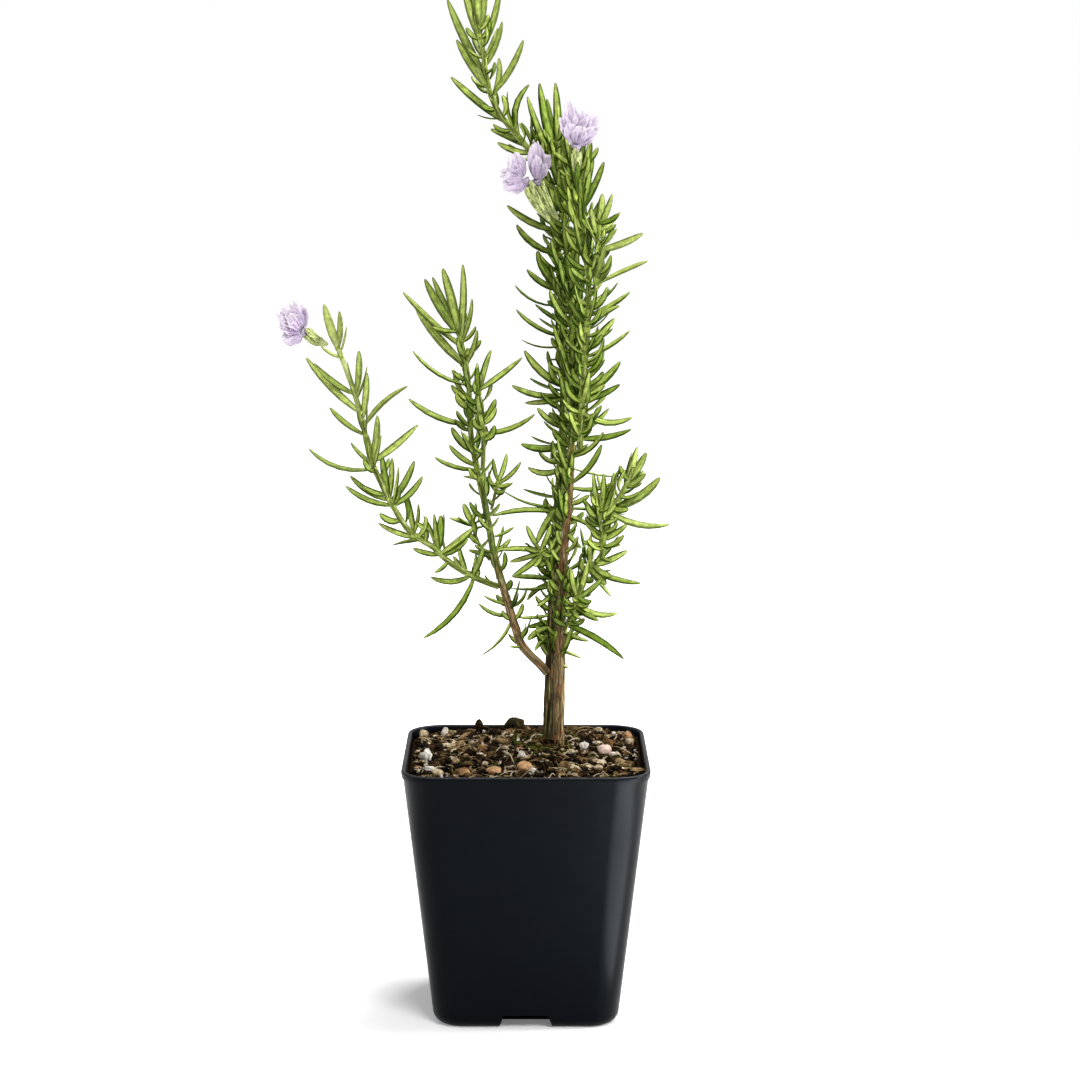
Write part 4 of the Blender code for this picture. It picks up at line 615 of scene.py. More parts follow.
class Graph:
    """Lays shader nodes in one tree and wires them."""

    def __init__(self, tree: bpy.types.NodeTree) -> None:
        """Work in a node tree."""
        self.tree = tree

    def add(self, kind: str, feeds: dict | None = None, **settings) -> bpy.types.Node:
        """Add a node.

        Args:
            kind: Its type, without the ShaderNode that types start with.
            feeds: Input name or number to a constant or a socket.
            settings: The node's own properties.

        Returns:
            The node.
        """
        node = self.tree.nodes.new("ShaderNode" + kind)
        for name, value in settings.items():
            setattr(node, name, value)
        for key, value in (feeds or {}).items():
            if isinstance(value, bpy.types.NodeSocket):
                self.tree.links.new(value, node.inputs[key])
            else:
                node.inputs[key].default_value = value
        return node

    def mark(self, name: str, vector: bool = False) -> Socket:
        """A vertex mark, as a number or as a vector."""
        return self.add("Attribute", attribute_name=name).outputs["Vector" if vector else "Fac"]

    def place(self, scale: Knot = (1.0, 1.0, 1.0)) -> Socket:
        """Object coordinates in millimetres, stretched by a scale for each axis."""
        where = self.add("TexCoord").outputs["Object"]
        return self.add("VectorMath", {0: where, 1: tuple(k / MM for k in scale)},
                        operation="MULTIPLY").outputs[0]

    def math(self, operation: str, *terms) -> Socket:
        """A Math node that isn't held to a range."""
        return self.add("Math", dict(enumerate(terms)), operation=operation).outputs[0]

    def sum(self, operation: str, a, b=0.0) -> Socket:
        """A Math node of two terms, held between 0 and 1."""
        return self.add("Math", {0: a, 1: b}, operation=operation, use_clamp=True).outputs[0]

    def mix(self, factor, a, b, blend: str = "MIX") -> Socket:
        """Blend colour b over colour a."""
        feeds = {0: factor, 6: a if isinstance(a, bpy.types.NodeSocket) else (*a, 1.0),
                 7: b if isinstance(b, bpy.types.NodeSocket) else (*b, 1.0)}
        return self.add("Mix", feeds, data_type="RGBA", blend_type=blend).outputs[2]

    def ramp(self, factor, stops: Sequence[tuple[float, Colour]],
             interpolation: str = "LINEAR") -> Socket:
        """A colour ramp through (place, colour) stops."""
        node = self.add("ValToRGB", {0: factor})
        band = node.color_ramp
        band.interpolation = interpolation
        while len(band.elements) < len(stops):
            band.elements.new(0.5)
        for element, (place, colour) in zip(band.elements, stops):
            element.position = place
            element.color = (*colour, 1.0)
        return node.outputs[0]

    def noise(self, vector, scale, detail: float = 3.0, rough: float = 0.55,
              bend: float = 0.0) -> Socket:
        """Noise of a scale, from 0 to 1."""
        return self.add("TexNoise", {"Vector": vector, "Scale": scale, "Detail": detail,
                                     "Roughness": rough, "Distortion": bend}).outputs[0]

    def spread(self, value, low: float, high: float, least: float = 0.0,
               most: float = 1.0) -> Socket:
        """Stretch low..high to least..most."""
        return self.add("MapRange", {0: value, 1: low, 2: high, 3: least, 4: most}).outputs[0]

    def drift(self, colour, vector: Socket, scale: float, amount: float) -> Socket:
        """Place the tint drift over a colour."""
        return self.add("Group", {"Colour": colour, "Vector": vector, "Scale": scale,
                                  "Amount": amount}, node_tree=tint_drift()).outputs[0]

    def grain(self, vector: Socket, scale: float, stretch: float) -> tuple[Socket, Socket]:
        """Place the fibres: a coarse mask and a fine one."""
        node = self.add("Group", {"Vector": vector, "Scale": scale, "Stretch": stretch},
                        node_tree=fibres())
        return node.outputs[0], node.outputs[1]

    def specks(self, vector: Socket, scale: float, amount: float) -> Socket:
        """Place the speckle mask."""
        return self.add("Group", {"Vector": vector, "Scale": scale, "Amount": amount},
                        node_tree=speckle()).outputs[0]

    def dress(self, shader: bpy.types.Node, colour: Socket, height: Socket, depth: float,
              specular: float, strength: float = 1.0) -> None:
        """Feed a shader its colour and its bump.

        Args:
            shader: The Principled BSDF.
            colour: Its base colour.
            height: The bump's height, from 0 to about 1.
            depth: The bump's depth in millimetres.
            specular: The specular level.
            strength: How strongly the bump shows.
        """
        bump = self.add("Bump", {"Height": height, "Distance": depth * MM, "Strength": strength})
        self.tree.links.new(colour, shader.inputs["Base Color"])
        self.tree.links.new(bump.outputs[0], shader.inputs["Normal"])
        shader.inputs["Specular IOR Level"].default_value = specular


def effect(name: str, inputs: Sequence[tuple[str, str, object]],
           outputs: Sequence[tuple[str, str]]):
    """Make a function that lays an effect into a shader node group once.

    Args:
        name: The group's name.
        inputs: Name, socket type and default value of each input.
        outputs: Name and socket type of each output.

    Returns:
        A decorator.  Its function gets the group's graph and its input sockets by name, and gives
        back the sockets to put out.
    """
    def wrap(lay):
        def group() -> bpy.types.NodeTree:
            """The group, built the first time that it is asked for."""
            tree = bpy.data.node_groups.get(name)
            if tree:
                return tree
            tree = bpy.data.node_groups.new(name, "ShaderNodeTree")
            for label, kind, value in inputs:
                socket = tree.interface.new_socket(label, in_out="INPUT", socket_type=kind)
                socket.default_value = value
            for label, kind in outputs:
                tree.interface.new_socket(label, in_out="OUTPUT", socket_type=kind)
            source = tree.nodes.new("NodeGroupInput")
            sink = tree.nodes.new("NodeGroupOutput")
            results = lay(Graph(tree), {label: source.outputs[label] for label, _, _ in inputs})
            for (label, _), result in zip(outputs, results):
                tree.links.new(result, sink.inputs[label])
            return tree
        return group
    return wrap


VECTOR, VALUE, COLOUR = "NodeSocketVector", "NodeSocketFloat", "NodeSocketColor"
WHERE, SIZE = ("Vector", VECTOR, (0, 0, 0)), ("Scale", VALUE, 1.0)


@effect("tint_drift", [("Colour", COLOUR, (0.5, 0.5, 0.5, 1)), WHERE, SIZE,
                       ("Amount", VALUE, 0.3)], [("Colour", COLOUR)])
def tint_drift(graph: Graph, given: dict) -> list:
    """Drift a colour lighter and darker in soft patches: colour times 1 + Amount (noise - 1/2)."""
    patches = graph.noise(given["Vector"], given["Scale"], 4.0, 0.5)
    swing = graph.spread(patches, 0.25, 0.75, -1.0, 1.0)
    reach = graph.math("MULTIPLY_ADD", swing, given["Amount"], 1.0)
    scaled = graph.add("VectorMath", {0: given["Colour"], "Scale": reach}, operation="SCALE")
    return [scaled.outputs[0]]


@effect("fibres", [WHERE, SIZE, ("Stretch", VALUE, 12.0)], [("Mask", VALUE), ("Fine", VALUE)])
def fibres(graph: Graph, given: dict) -> list:
    """Fibres along a vector's last axis: coarse and fine noise, squeezed along that axis."""
    squeeze = graph.math("DIVIDE", 1.0, given["Stretch"])
    scale = graph.add("CombineXYZ", {0: 1.0, 1: 1.0, 2: squeeze}).outputs[0]
    grain = graph.add("VectorMath", {0: given["Vector"], 1: scale}, operation="MULTIPLY").outputs[0]
    coarse = graph.noise(grain, given["Scale"], 5.0, 0.6, 0.4)
    fine = graph.noise(grain, graph.math("MULTIPLY", given["Scale"], 3.4), 3.0, 0.5)
    return [graph.spread(coarse, 0.32, 0.68), graph.spread(fine, 0.3, 0.7)]


@effect("speckle", [WHERE, SIZE, ("Amount", VALUE, 0.3)], [("Mask", VALUE)])
def speckle(graph: Graph, given: dict) -> list:
    """Scattered specks: 1 where a fine noise rises over 1 - Amount."""
    grains = graph.noise(given["Vector"], given["Scale"], 2.0, 0.7)
    edge = graph.math("SUBTRACT", 1.0, given["Amount"])
    return [graph.spread(graph.math("SUBTRACT", grains, edge), 0.0, 0.08)]


@dataclass(frozen=True)
class Finish:
    """A procedural material; a kind of finish says how it is painted."""

    name: str
    roughness: float = 0.6

    def material(self) -> bpy.types.Material:
        """The material, made the first time that it is asked for."""
        found = bpy.data.materials.get(self.name)
        if found:
            return found
        made = bpy.data.materials.new(self.name)
        made.use_nodes = True
        shader = made.node_tree.nodes["Principled BSDF"]
        shader.inputs["Roughness"].default_value = self.roughness
        self.paint(Graph(made.node_tree), shader)
        return made

    def paint(self, graph: Graph, shader: bpy.types.Node) -> None:
        """Wire the pattern into the shader."""
        raise NotImplementedError

    def vary_gloss(self, graph: Graph, shader: bpy.types.Node, value: Socket, less: float,
                   more: float) -> None:
        """Let a value swing the roughness from less below the finish's own to more above it."""
        rough = graph.spread(value, 0.0, 1.0, self.roughness - less, self.roughness + more)
        graph.tree.links.new(rough, shader.inputs["Roughness"])


@dataclass(frozen=True)
class PotPlastic(Finish):
    """Moulded blue-black plastic, semi-matte, with a paler rim that is partly wear and partly a
    painted highlight, and a little dusty.
    """

    base: Colour = (0.0008, 0.0013, 0.0022)
    rim_wear_and_highlight: Colour = (0.085, 0.085, 0.088)
    dust: Colour = (0.008, 0.009, 0.010)
    rim_height: float = 94.45
    gloss_tint: Colour = (0.82, 0.91, 1.0)

    def paint(self, graph: Graph, shader: bpy.types.Node) -> None:
        """Drifted base, a rim band that is partly wear and partly a painted highlight, fine
        moulding grain and faint level bands.
        """
        where = graph.place()
        base = graph.drift((*self.base, 1.0), where, 0.06, 0.25)
        height = graph.add("SeparateXYZ", {0: where}).outputs[2]
        # The paler band along the rim's top edge is partly wear and partly a painted highlight.
        rim = graph.spread(height, self.rim_height, self.rim_height + 0.6)
        rim_wear_and_highlight_mask = graph.sum("MULTIPLY", rim, graph.noise(where, 0.4))
        rim_wear_and_highlight = graph.mix(rim_wear_and_highlight_mask, base, self.rim_wear_and_highlight)
        thin = graph.sum("MULTIPLY", graph.specks(where, 2.2, 0.33), 0.16)
        bands = graph.noise(graph.place((0.05, 0.05, 1.0)), 0.55)
        relief = graph.math("MULTIPLY_ADD", bands, 2.5, graph.noise(where, 3.0, 2.0))
        graph.dress(shader, graph.mix(thin, rim_wear_and_highlight, self.dust), relief, 0.009, 0.07, 0.6)
        self.vary_gloss(graph, shader, graph.noise(where, 0.12, 4.0), 0.07, 0.09)
        shader.inputs["Specular Tint"].default_value = (*self.gloss_tint, 1.0)


@dataclass(frozen=True)
class Crust(Finish):
    """Damp potting mix: near-black crumbs with brown fibre between them."""

    tones: tuple[tuple[float, Colour], ...] = (
        (0.36, (0.003, 0.002, 0.001)), (0.50, (0.012, 0.006, 0.002)),
        (0.60, (0.040, 0.023, 0.008)), (0.76, (0.16, 0.11, 0.045)))

    def paint(self, graph: Graph, shader: bpy.types.Node) -> None:
        """Noise through a ramp of mix colours, and a rough bump."""
        where = graph.place()
        crumbs = graph.noise(where, 0.9, 6.0, 0.7, 0.6)
        colour = graph.drift(graph.ramp(crumbs, self.tones), where, 0.12, 0.5)
        graph.dress(shader, colour, crumbs, 0.8, 0.03)


@dataclass(frozen=True)
class Chips(Finish):
    """Loose bits of the mix, each with its own colour from its tone mark."""

    tones: tuple[tuple[float, Colour], ...] = (
        (0.0, (0.003, 0.002, 0.001)), (0.25, (0.013, 0.007, 0.002)),
        (0.44, (0.045, 0.024, 0.008)), (0.57, (0.135, 0.085, 0.032)),
        (0.67, (0.32, 0.215, 0.100)), (0.76, (0.66, 0.54, 0.36)),
        (0.86, (0.060, 0.070, 0.008)), (0.91, (0.46, 0.26, 0.13)), (0.955, (0.74, 0.69, 0.61)))
    grime: Colour = (0.012, 0.007, 0.003)
    damp: Colour = (0.38, 0.32, 0.23)

    def paint(self, graph: Graph, shader: bpy.types.Node) -> None:
        """A stepped palette by tone, grained, darker in damp patches."""
        where = graph.place()
        colour = graph.ramp(graph.mark("tone"), self.tones, "CONSTANT")
        mask, fine = graph.grain(where, 0.9, 2.5)
        shaded = graph.mix(graph.sum("MULTIPLY", mask, 0.55), colour, self.grime)
        dry = graph.spread(graph.noise(where, 0.16), 0.40, 0.52)
        wetted = graph.mix(dry, graph.mix(1.0, shaded, self.damp, "MULTIPLY"), shaded)
        graph.dress(shader, graph.drift(wetted, where, 0.8, 0.45), fine, 0.15, 0.05)


@dataclass(frozen=True)
class Stone(Finish):
    """A pebble: mottled, with darker pits."""

    light: Colour = (0.6, 0.5, 0.4)
    dark: Colour = (0.3, 0.2, 0.1)
    pit: Colour = (0.05, 0.03, 0.02)

    def paint(self, graph: Graph, shader: bpy.types.Node) -> None:
        """Blend two colours by noise and pit the surface."""
        where = graph.place()
        veins = graph.spread(graph.noise(where, 0.55, 5.0, 0.6, 0.8), 0.35, 0.65)
        pits = graph.sum("MULTIPLY", graph.specks(where, 2.6, 0.40), 0.7)
        pitted = graph.mix(pits, graph.mix(veins, self.dark, self.light), self.pit)
        graph.dress(shader, graph.drift(pitted, where, 0.9, 0.25),
                    graph.noise(where, 1.4, 5.0), 0.3, 0.5)


@dataclass(frozen=True)
class Bark(Finish):
    """Stem skin: fibrous brown bark where the wood mark is 1, green skin where it is 0."""

    bark: tuple[tuple[float, Colour], ...] = (
        (0.0, (0.014, 0.009, 0.003)), (0.28, (0.060, 0.038, 0.013)),
        (0.52, (0.155, 0.105, 0.040)), (0.78, (0.33, 0.245, 0.115)), (1.0, (0.56, 0.47, 0.29)))
    skin: tuple[tuple[float, Colour], ...] = (
        (0.0, (0.030, 0.038, 0.003)), (0.35, (0.095, 0.125, 0.014)),
        (0.62, (0.20, 0.255, 0.045)), (1.0, (0.50, 0.56, 0.22)))
    rust: Colour = (0.27, 0.095, 0.035)
    strip: Colour = (0.30, 0.18, 0.07)
    painted_shade_tint: Colour = (0.22, 0.30, 0.13)
    bloom: Colour = (0.52, 0.58, 0.23)

    def paint(self, graph: Graph, shader: bpy.types.Node) -> None:
        """Fibres through two ramps, blended by the wood mark, with raised fibres and painted shade
        where the shade mark is high.
        """
        grain, wood = graph.mark("grain", vector=True), graph.mark("wood")
        mask, fine = graph.grain(grain, 1.1, 9.0)
        rusty = graph.spread(graph.noise(grain, 0.22, 2.0), 0.50, 0.62)
        bark = graph.mix(graph.sum("MULTIPLY", rusty, 0.6), graph.ramp(mask, self.bark), self.rust)
        blotch = graph.spread(graph.noise(grain, 0.35, 4.0), 0.35, 0.62)
        share = graph.sum("ADD", graph.sum("MULTIPLY", wood, wood),
                          graph.sum("MULTIPLY", blotch, wood))
        colour = graph.mix(share, graph.ramp(mask, self.skin), bark)
        stripped = graph.mix(graph.sum("MULTIPLY", graph.mark("tone"), 0.6), colour, self.strip)
        # Painted shade: the shade mark multiplies the colour by the painted shade tint.
        shade = graph.mix(graph.mark("shade"), stripped, self.painted_shade_tint, "MULTIPLY")
        bloomed = graph.mix(graph.mark("pale"), shade, self.bloom)
        relief = graph.math("MULTIPLY_ADD", mask, 1.6, fine)
        graph.dress(shader, graph.drift(bloomed, grain, 0.5, 0.35), relief, 0.16, 0.2)


@dataclass(frozen=True)
class LeafSkin(Finish):
    """Waxy needle leaf: green above with a painted sheen stripe and dark edges, felted pale green
    below.
    """

    edge: Colour = (0.024, 0.052, 0.002)
    body: Colour = (0.165, 0.260, 0.006)
    painted_sheen_stripe: Colour = (0.62, 0.72, 0.19)
    rib: Colour = (0.38, 0.46, 0.13)
    felt: Colour = (0.29, 0.37, 0.062)
    dark: Colour = (0.32, 0.43, 0.12)
    young: Colour = (0.58, 0.63, 0.22)
    tip: Colour = (0.10, 0.070, 0.014)
    foot: Colour = (0.36, 0.42, 0.12)

    def paint(self, graph: Graph, shader: bpy.types.Node) -> None:
        """Cross the leaf from dark edge to a painted sheen stripe, darken it by tone and brown its
        tip.
        """
        grain = graph.mark("grain", vector=True)
        across = graph.sum("ABSOLUTE", graph.mark("across"))
        along = graph.mark("along")
        mask, fine = graph.grain(grain, 0.8, 5.0)
        strayed = graph.math("MULTIPLY_ADD", mask, 0.22, across)
        # The pale stripe either side of the groove is a painted sheen.
        above = graph.ramp(strayed, [(0.04, self.body), (0.22, self.painted_sheen_stripe), (0.48, self.painted_sheen_stripe),
                                     (0.72, self.body), (1.0, self.edge)])
        below = graph.ramp(across, [(0.0, self.rib), (0.35, self.felt), (0.9, self.body)])
        face = graph.spread(graph.mark("face"), -0.25, 0.05)
        streaks = graph.sum("MULTIPLY", graph.sum("SUBTRACT", 1.0, fine), 0.50)
        colour = graph.mix(streaks, graph.mix(face, below, above), self.edge)
        darker = graph.mix(graph.mark("tone"), colour, self.dark, "MULTIPLY")
        young = graph.mix(graph.mark("pale"), darker, self.young)
        dry = graph.sum("MULTIPLY", graph.spread(along, 0.93, 1.0), graph.spread(mask, 0.2, 0.9))
        tipped = graph.mix(dry, young, self.tip)
        low = graph.sum("SUBTRACT", 1.0, graph.spread(along, 0.0, 0.16))
        footed = graph.mix(graph.sum("MULTIPLY", low, 0.6), tipped, self.foot)
        graph.dress(shader, graph.drift(footed, grain, 0.5, 0.38), fine, 0.10, 0.07)
        self.vary_gloss(graph, shader, fine, 0.08, 0.14)


@dataclass(frozen=True)
class PetalSkin(Finish):
    """Thin lilac petal with violet veins that run from its foot and pale, crinkled edges."""

    foot: Colour = (0.52, 0.46, 0.55)
    deep: Colour = (0.47, 0.37, 0.53)
    pale: Colour = (0.68, 0.59, 0.71)
    rim: Colour = (0.74, 0.67, 0.76)
    vein: Colour = (0.13, 0.08, 0.18)

    def paint(self, graph: Graph, shader: bpy.types.Node) -> None:
        """Veins where stretched noise is high near the foot, over a pale-edged lilac."""
        grain, along = graph.mark("grain", vector=True), graph.mark("along")
        mask, fine = graph.grain(grain, 1.5, 7.0)
        base = graph.ramp(along, [(0.0, self.foot), (0.30, self.deep), (0.75, self.pale),
                                  (1.0, self.rim)])
        near = graph.sum("SUBTRACT", 1.0, graph.spread(along, 0.45, 1.0))
        lines = graph.sum("MULTIPLY", graph.spread(mask, 0.52, 0.85), near)
        veined = graph.mix(graph.sum("MULTIPLY", lines, 0.75), base, self.vein)
        spots = graph.sum("MULTIPLY", graph.specks(grain, 2.0, 0.36), near)
        marked = graph.mix(graph.sum("MULTIPLY", spots, 0.5), veined, self.vein)
        graph.dress(shader, graph.drift(marked, grain, 0.7, 0.22), fine, 0.12, 0.2)


@dataclass(frozen=True)
class Felt(Finish):
    """Downy skin of calyces, buds and moss: two greens, streaked, with a soft sheen."""

    light: Colour = (0.60, 0.66, 0.24)
    dark: Colour = (0.060, 0.095, 0.010)
    sheen: float = 0.3

    def paint(self, graph: Graph, shader: bpy.types.Node) -> None:
        """Ribs from the tone mark, streaks from the grain."""
        grain = graph.mark("grain", vector=True)
        mask, fine = graph.grain(grain, 1.2, 3.0)
        ribbed = graph.sum("ADD", graph.sum("MULTIPLY", graph.spread(mask, 0.25, 0.8), 0.9),
                           graph.sum("MULTIPLY", graph.mark("tone"), 0.30))
        down = graph.sum("MULTIPLY", graph.specks(grain, 2.4, 0.42), 0.5)
        colour = graph.mix(down, graph.mix(ribbed, self.dark, self.light), self.light)
        graph.dress(shader, graph.drift(colour, grain, 0.4, 0.3), fine, 0.25, 0.15)
        shader.inputs["Sheen Weight"].default_value = self.sheen


@dataclass(frozen=True)
class Backdrop(Finish):
    """Plain white floor that is lifted to clear white away from the pot."""

    base: Colour = (0.90, 0.90, 0.90)
    near: float = 120.0
    far: float = 420.0
    lift: tuple[float, float] = (0.14, 0.68)

    def paint(self, graph: Graph, shader: bpy.types.Node) -> None:
        """One pale colour with the faintest drift, and a glow that grows with the distance."""
        where = graph.place()
        colour = graph.drift((*self.base, 1.0), where, 0.002, 0.01)
        graph.tree.links.new(colour, shader.inputs["Base Color"])
        away = graph.add("VectorMath", {0: where}, operation="LENGTH").outputs["Value"]
        glow = graph.spread(away, self.near, self.far, *self.lift)
        seen = graph.add("LightPath").outputs["Is Camera Ray"]
        graph.tree.links.new(graph.sum("MULTIPLY", glow, seen), shader.inputs["Emission Strength"])
        shader.inputs["Emission Color"].default_value = (1.0, 1.0, 1.0, 1.0)
        shader.inputs["Specular IOR Level"].default_value = 0.1


PLASTIC = PotPlastic("pot_plastic", 0.32)
CRUST = Crust("damp_mix", 0.95)
CHIPS = Chips("mix_chips", 0.85)
TAN = Stone("tan_stone_face", 0.5, (0.58, 0.34, 0.15), (0.30, 0.14, 0.05))
ROSE = Stone("rose_stone_face", 0.7, (0.72, 0.58, 0.50), (0.42, 0.25, 0.19))
WHITE = Stone("white_chip_face", 0.75, (0.74, 0.72, 0.66), (0.42, 0.38, 0.31))
BARK = Bark("stem_bark", 0.8)
LEAF = LeafSkin("leaf_skin", 0.42)
PETAL = PetalSkin("petal_skin", 0.55)
CALYX = Felt("calyx_down", 0.75)
MOSS = Felt("moss_down", 0.95, (0.062, 0.052, 0.010), (0.006, 0.005, 0.001), 0.0)
FLOOR = Backdrop("white_floor", 0.9)


# ------------------------------------------------------------------ pot and mix

@dataclass
class Pot:
    """Thin tapered square shell with rounded corners, a rim bead and four drain notches."""

    height: float = 95.0
    top_half: float = 44.0
    base_half: float = 33.2
    top_corner: float = 13.0
    base_corner: float = 10.0
    wall: float = 1.2
    floor: float = 1.6
    floor_round: float = 3.0
    foot_round: float = 4.0
    rim_lip: float = 0.5
    rim_band: float = 2.6
    rim_slope: float = 0.8
    notch: tuple[float, float, float, float] = (10.0, 8.0, 5.0, 11.0)
    notch_skin: float = 1.3
    corner_steps: int = 14
    sharp_angle: float = 32.0

    def outline(self, z: float, inset: float) -> np.ndarray:
        """A rounded square: four quarter arcs joined by straight sides.

        Args:
            z: Its height.
            inset: How far in it lies from the pot's outside.

        Returns:
            Its points, anticlockwise from the +X side.
        """
        rise = z / self.height
        half = self.base_half + (self.top_half - self.base_half) * rise - inset
        corner = max(self.base_corner + (self.top_corner - self.base_corner) * rise - inset, 1.0)
        angle = np.linspace(0, math.pi / 2, self.corner_steps + 1)
        x = half - corner + corner * np.cos(angle)
        y = half - corner + corner * np.sin(angle)
        quarters = []
        for quarter in range(4):
            c, s = math.cos(quarter * math.pi / 2), math.sin(quarter * math.pi / 2)
            quarters.append(np.stack([x * c - y * s, x * s + y * c, np.full_like(x, z)], axis=-1))
        return np.concatenate(quarters)

    def profile(self) -> list[tuple[float, float]]:
        """Height and inset of each ring, from the cavity's floor over the rim to the foot."""
        arc = np.linspace(0, math.pi / 2, 6)
        rows = [(self.floor + self.floor_round * (1 - math.cos(a)),
                 self.wall + self.floor_round * (1 - math.sin(a))) for a in arc]
        rows += [(z, self.wall) for z in (self.height * 0.5, self.height - self.rim_band)]
        edge = (self.wall + self.rim_lip) / 2
        middle = (self.wall - self.rim_lip) / 2
        rows += [(self.height - edge * (1 - math.sin(a)), middle + edge * math.cos(a)) for a in arc]
        rows += [(self.height - edge * (1 - math.cos(a)), middle - edge * math.sin(a))
                 for a in arc[1:]]
        rows += [(self.height - self.rim_band, -self.rim_lip),
                 (self.height - self.rim_band - self.rim_slope, 0.0)]
        rows += [(self.height * share, 0.0) for share in (0.75, 0.5, 0.25)]
        rows += [(self.foot_round * (1 - math.sin(a)), self.foot_round * (1 - math.cos(a)))
                 for a in arc]
        return rows

    def shell(self) -> Skin:
        """The whole wall as one closed loft."""
        rings = np.stack([self.outline(z, inset) for z, inset in self.profile()])
        return close_tubes(rings[None, :, ::-1])

    def notch_tool(self, grow: float, side: int) -> bpy.types.Object:
        """A trapezoid prism in the foot of one side.

        Args:
            grow: How much larger it is all round than the notch itself.
            side: Quarter turns from +X.

        Returns:
            A tool object for a Boolean.
        """
        low, high, top, depth = self.notch
        sill = -1.0 if grow == 0.0 else self.floor * 0.4
        section = np.array([(-low - grow, sill), (low + grow, sill),
                            (high + grow, top + grow), (-high - grow, top + grow)])
        inner = self.base_half - depth - grow
        if grow == 0.0:
            outer = np.full(4, self.base_half + 5.0)
        else:
            below, above = self.base_half - 0.55 * self.foot_round, self.base_half - 0.4 * self.wall
            outer = np.array([below, below, above, above])
        rings = np.stack([np.column_stack([x, section]) for x in (np.full(4, inner), outer)])
        angle = side * math.pi / 2
        turn = np.array([[math.cos(angle), -math.sin(angle), 0.0],
                         [math.sin(angle), math.cos(angle), 0.0], [0.0, 0.0, 1.0]])
        skin = close_tubes((rings @ turn.T)[None])
        mesh = bpy.data.meshes.new("notch_tool")
        mesh.from_pydata((skin.vertices * MM).tolist(), [],
                         skin.quads.tolist() + skin.triangles.tolist())
        tool = bpy.data.objects.new("notch_tool", mesh)
        bpy.context.scene.collection.objects.link(tool)
        return tool

    def build(self) -> None:
        """Make the pot and cut its notches."""
        pot = self.shell().piece("nursery_pot", PLASTIC, Slot.PLASTIC, ["pot"])
        for grow, operation in ((self.notch_skin, "UNION"), (0.0, "DIFFERENCE")):
            for side in range(4):
                tool = self.notch_tool(grow, side)
                cut = pot.modifiers.new("notch", "BOOLEAN")
                cut.operation = operation
                cut.solver = "EXACT"
                cut.object = tool
                graph = bpy.context.evaluated_depsgraph_get()
                result = bpy.data.meshes.new_from_object(pot.evaluated_get(graph))
                pot.modifiers.remove(cut)
                pot.data = result
                bpy.data.objects.remove(tool, do_unlink=True)
        pot.data.shade_smooth()
        pot.data.set_sharp_from_angle(angle=math.radians(self.sharp_angle))


@dataclass
class Lumps:
    """A batch of rough balls: each is a ball stretched to its axes, roughened and turned."""

    rows: int
    sides: int
    rough: float

    def grow(self, centres: np.ndarray, axes: np.ndarray, turns: np.ndarray, tone: np.ndarray,
             rng: Rng) -> Skin:
        """Work out the batch: centre + turn (axes * radius(latitude, longitude)).

        Args:
            centres: Middles, (piece, 3).
            axes: Semi-axes, (piece, 3).
            turns: Rotations, (piece, 3, 3).
            tone: A number for each piece's colour.
            rng: Draws the roughness.

        Returns:
            The skin of all of them.
        """
        latitude = (np.arange(self.rows) + 1.0) / (self.rows + 1) * math.pi
        grid = np.meshgrid(latitude, round_angles(self.sides), indexing="ij")
        swell = 1 + self.rough * rng.uniform(-1, 1, (len(centres), self.rows, self.sides, 1))
        points = ball(*grid)[None] * swell * axes[:, None, None]
        placed = np.einsum("bij,brsj->brsi", turns, points) + centres[:, None, None]
        return close_tubes(placed, tone=tone[:, None, None], grain=placed)


def spins(count: int, tilt: float, rng: Rng) -> np.ndarray:
    """Rotations of things that lie about: any turn about Z, then a tilt about a level axis.

    Args:
        count: How many.
        tilt: Spread of the tilt in radians.
        rng: Draws the angles.

    Returns:
        Rotation matrices, (count, 3, 3).
    """
    spin = rng.uniform(0, 2 * math.pi, count)
    lean = rng.normal(0, tilt, count)
    heading = rng.uniform(0, 2 * math.pi, count)
    turns = []
    for angle, axis in ((spin, 2), (lean, 0), (heading, 2)):
        c, s, one, nil = np.cos(angle), np.sin(angle), np.ones(count), np.zeros(count)
        rows = ([c, -s, nil, s, c, nil, nil, nil, one] if axis == 2
                else [one, nil, nil, nil, c, -s, nil, s, c])
        turns.append(np.stack(rows, axis=-1).reshape(count, 3, 3))
    return turns[2] @ turns[1] @ turns[0]


# Larger loose stones and flakes: x, y, semi-axes and the tone that picks their colour.
STONES = (
    (-30.7, 35.5, 1.7, 1.5, 2.4, 0.97), (-38.5, 33.0, 1.9, 1.6, 1.8, 0.80),
    (-37.5, 0.7, 2.6, 1.9, 1.4, 0.97), (-1.1, -9.1, 1.6, 1.4, 2.2, 0.99),
    (21.3, 0.7, 2.0, 1.6, 1.7, 0.98), (30.5, 6.0, 1.9, 1.6, 2.0, 0.93),
    (38.0, 27.0, 2.1, 1.8, 2.0, 0.92), (38.5, 16.0, 2.4, 1.6, 1.6, 0.82),
    (-31.8, -23.4, 3.0, 2.2, 1.2, 0.80), (-22.2, -24.4, 2.6, 2.0, 1.9, 0.92),
    (-34.5, -17.2, 2.4, 1.8, 1.2, 0.97), (-9.6, -20.4, 2.4, 1.8, 1.2, 0.82),
    (14.0, -18.0, 2.4, 1.7, 1.1, 0.70), (26.0, -20.0, 2.2, 1.6, 1.2, 0.80),
    (34.0, -12.0, 2.0, 1.5, 1.2, 0.72), (-16.0, 4.0, 2.3, 1.7, 1.4, 0.93),
    (-24.0, 14.0, 2.0, 1.6, 1.5, 0.70), (2.0, -25.0, 1.6, 1.4, 1.1, 0.96),
    (-12.0, 26.0, 2.2, 1.8, 1.6, 0.30), (18.0, 30.0, 2.4, 1.9, 1.5, 0.60),
)

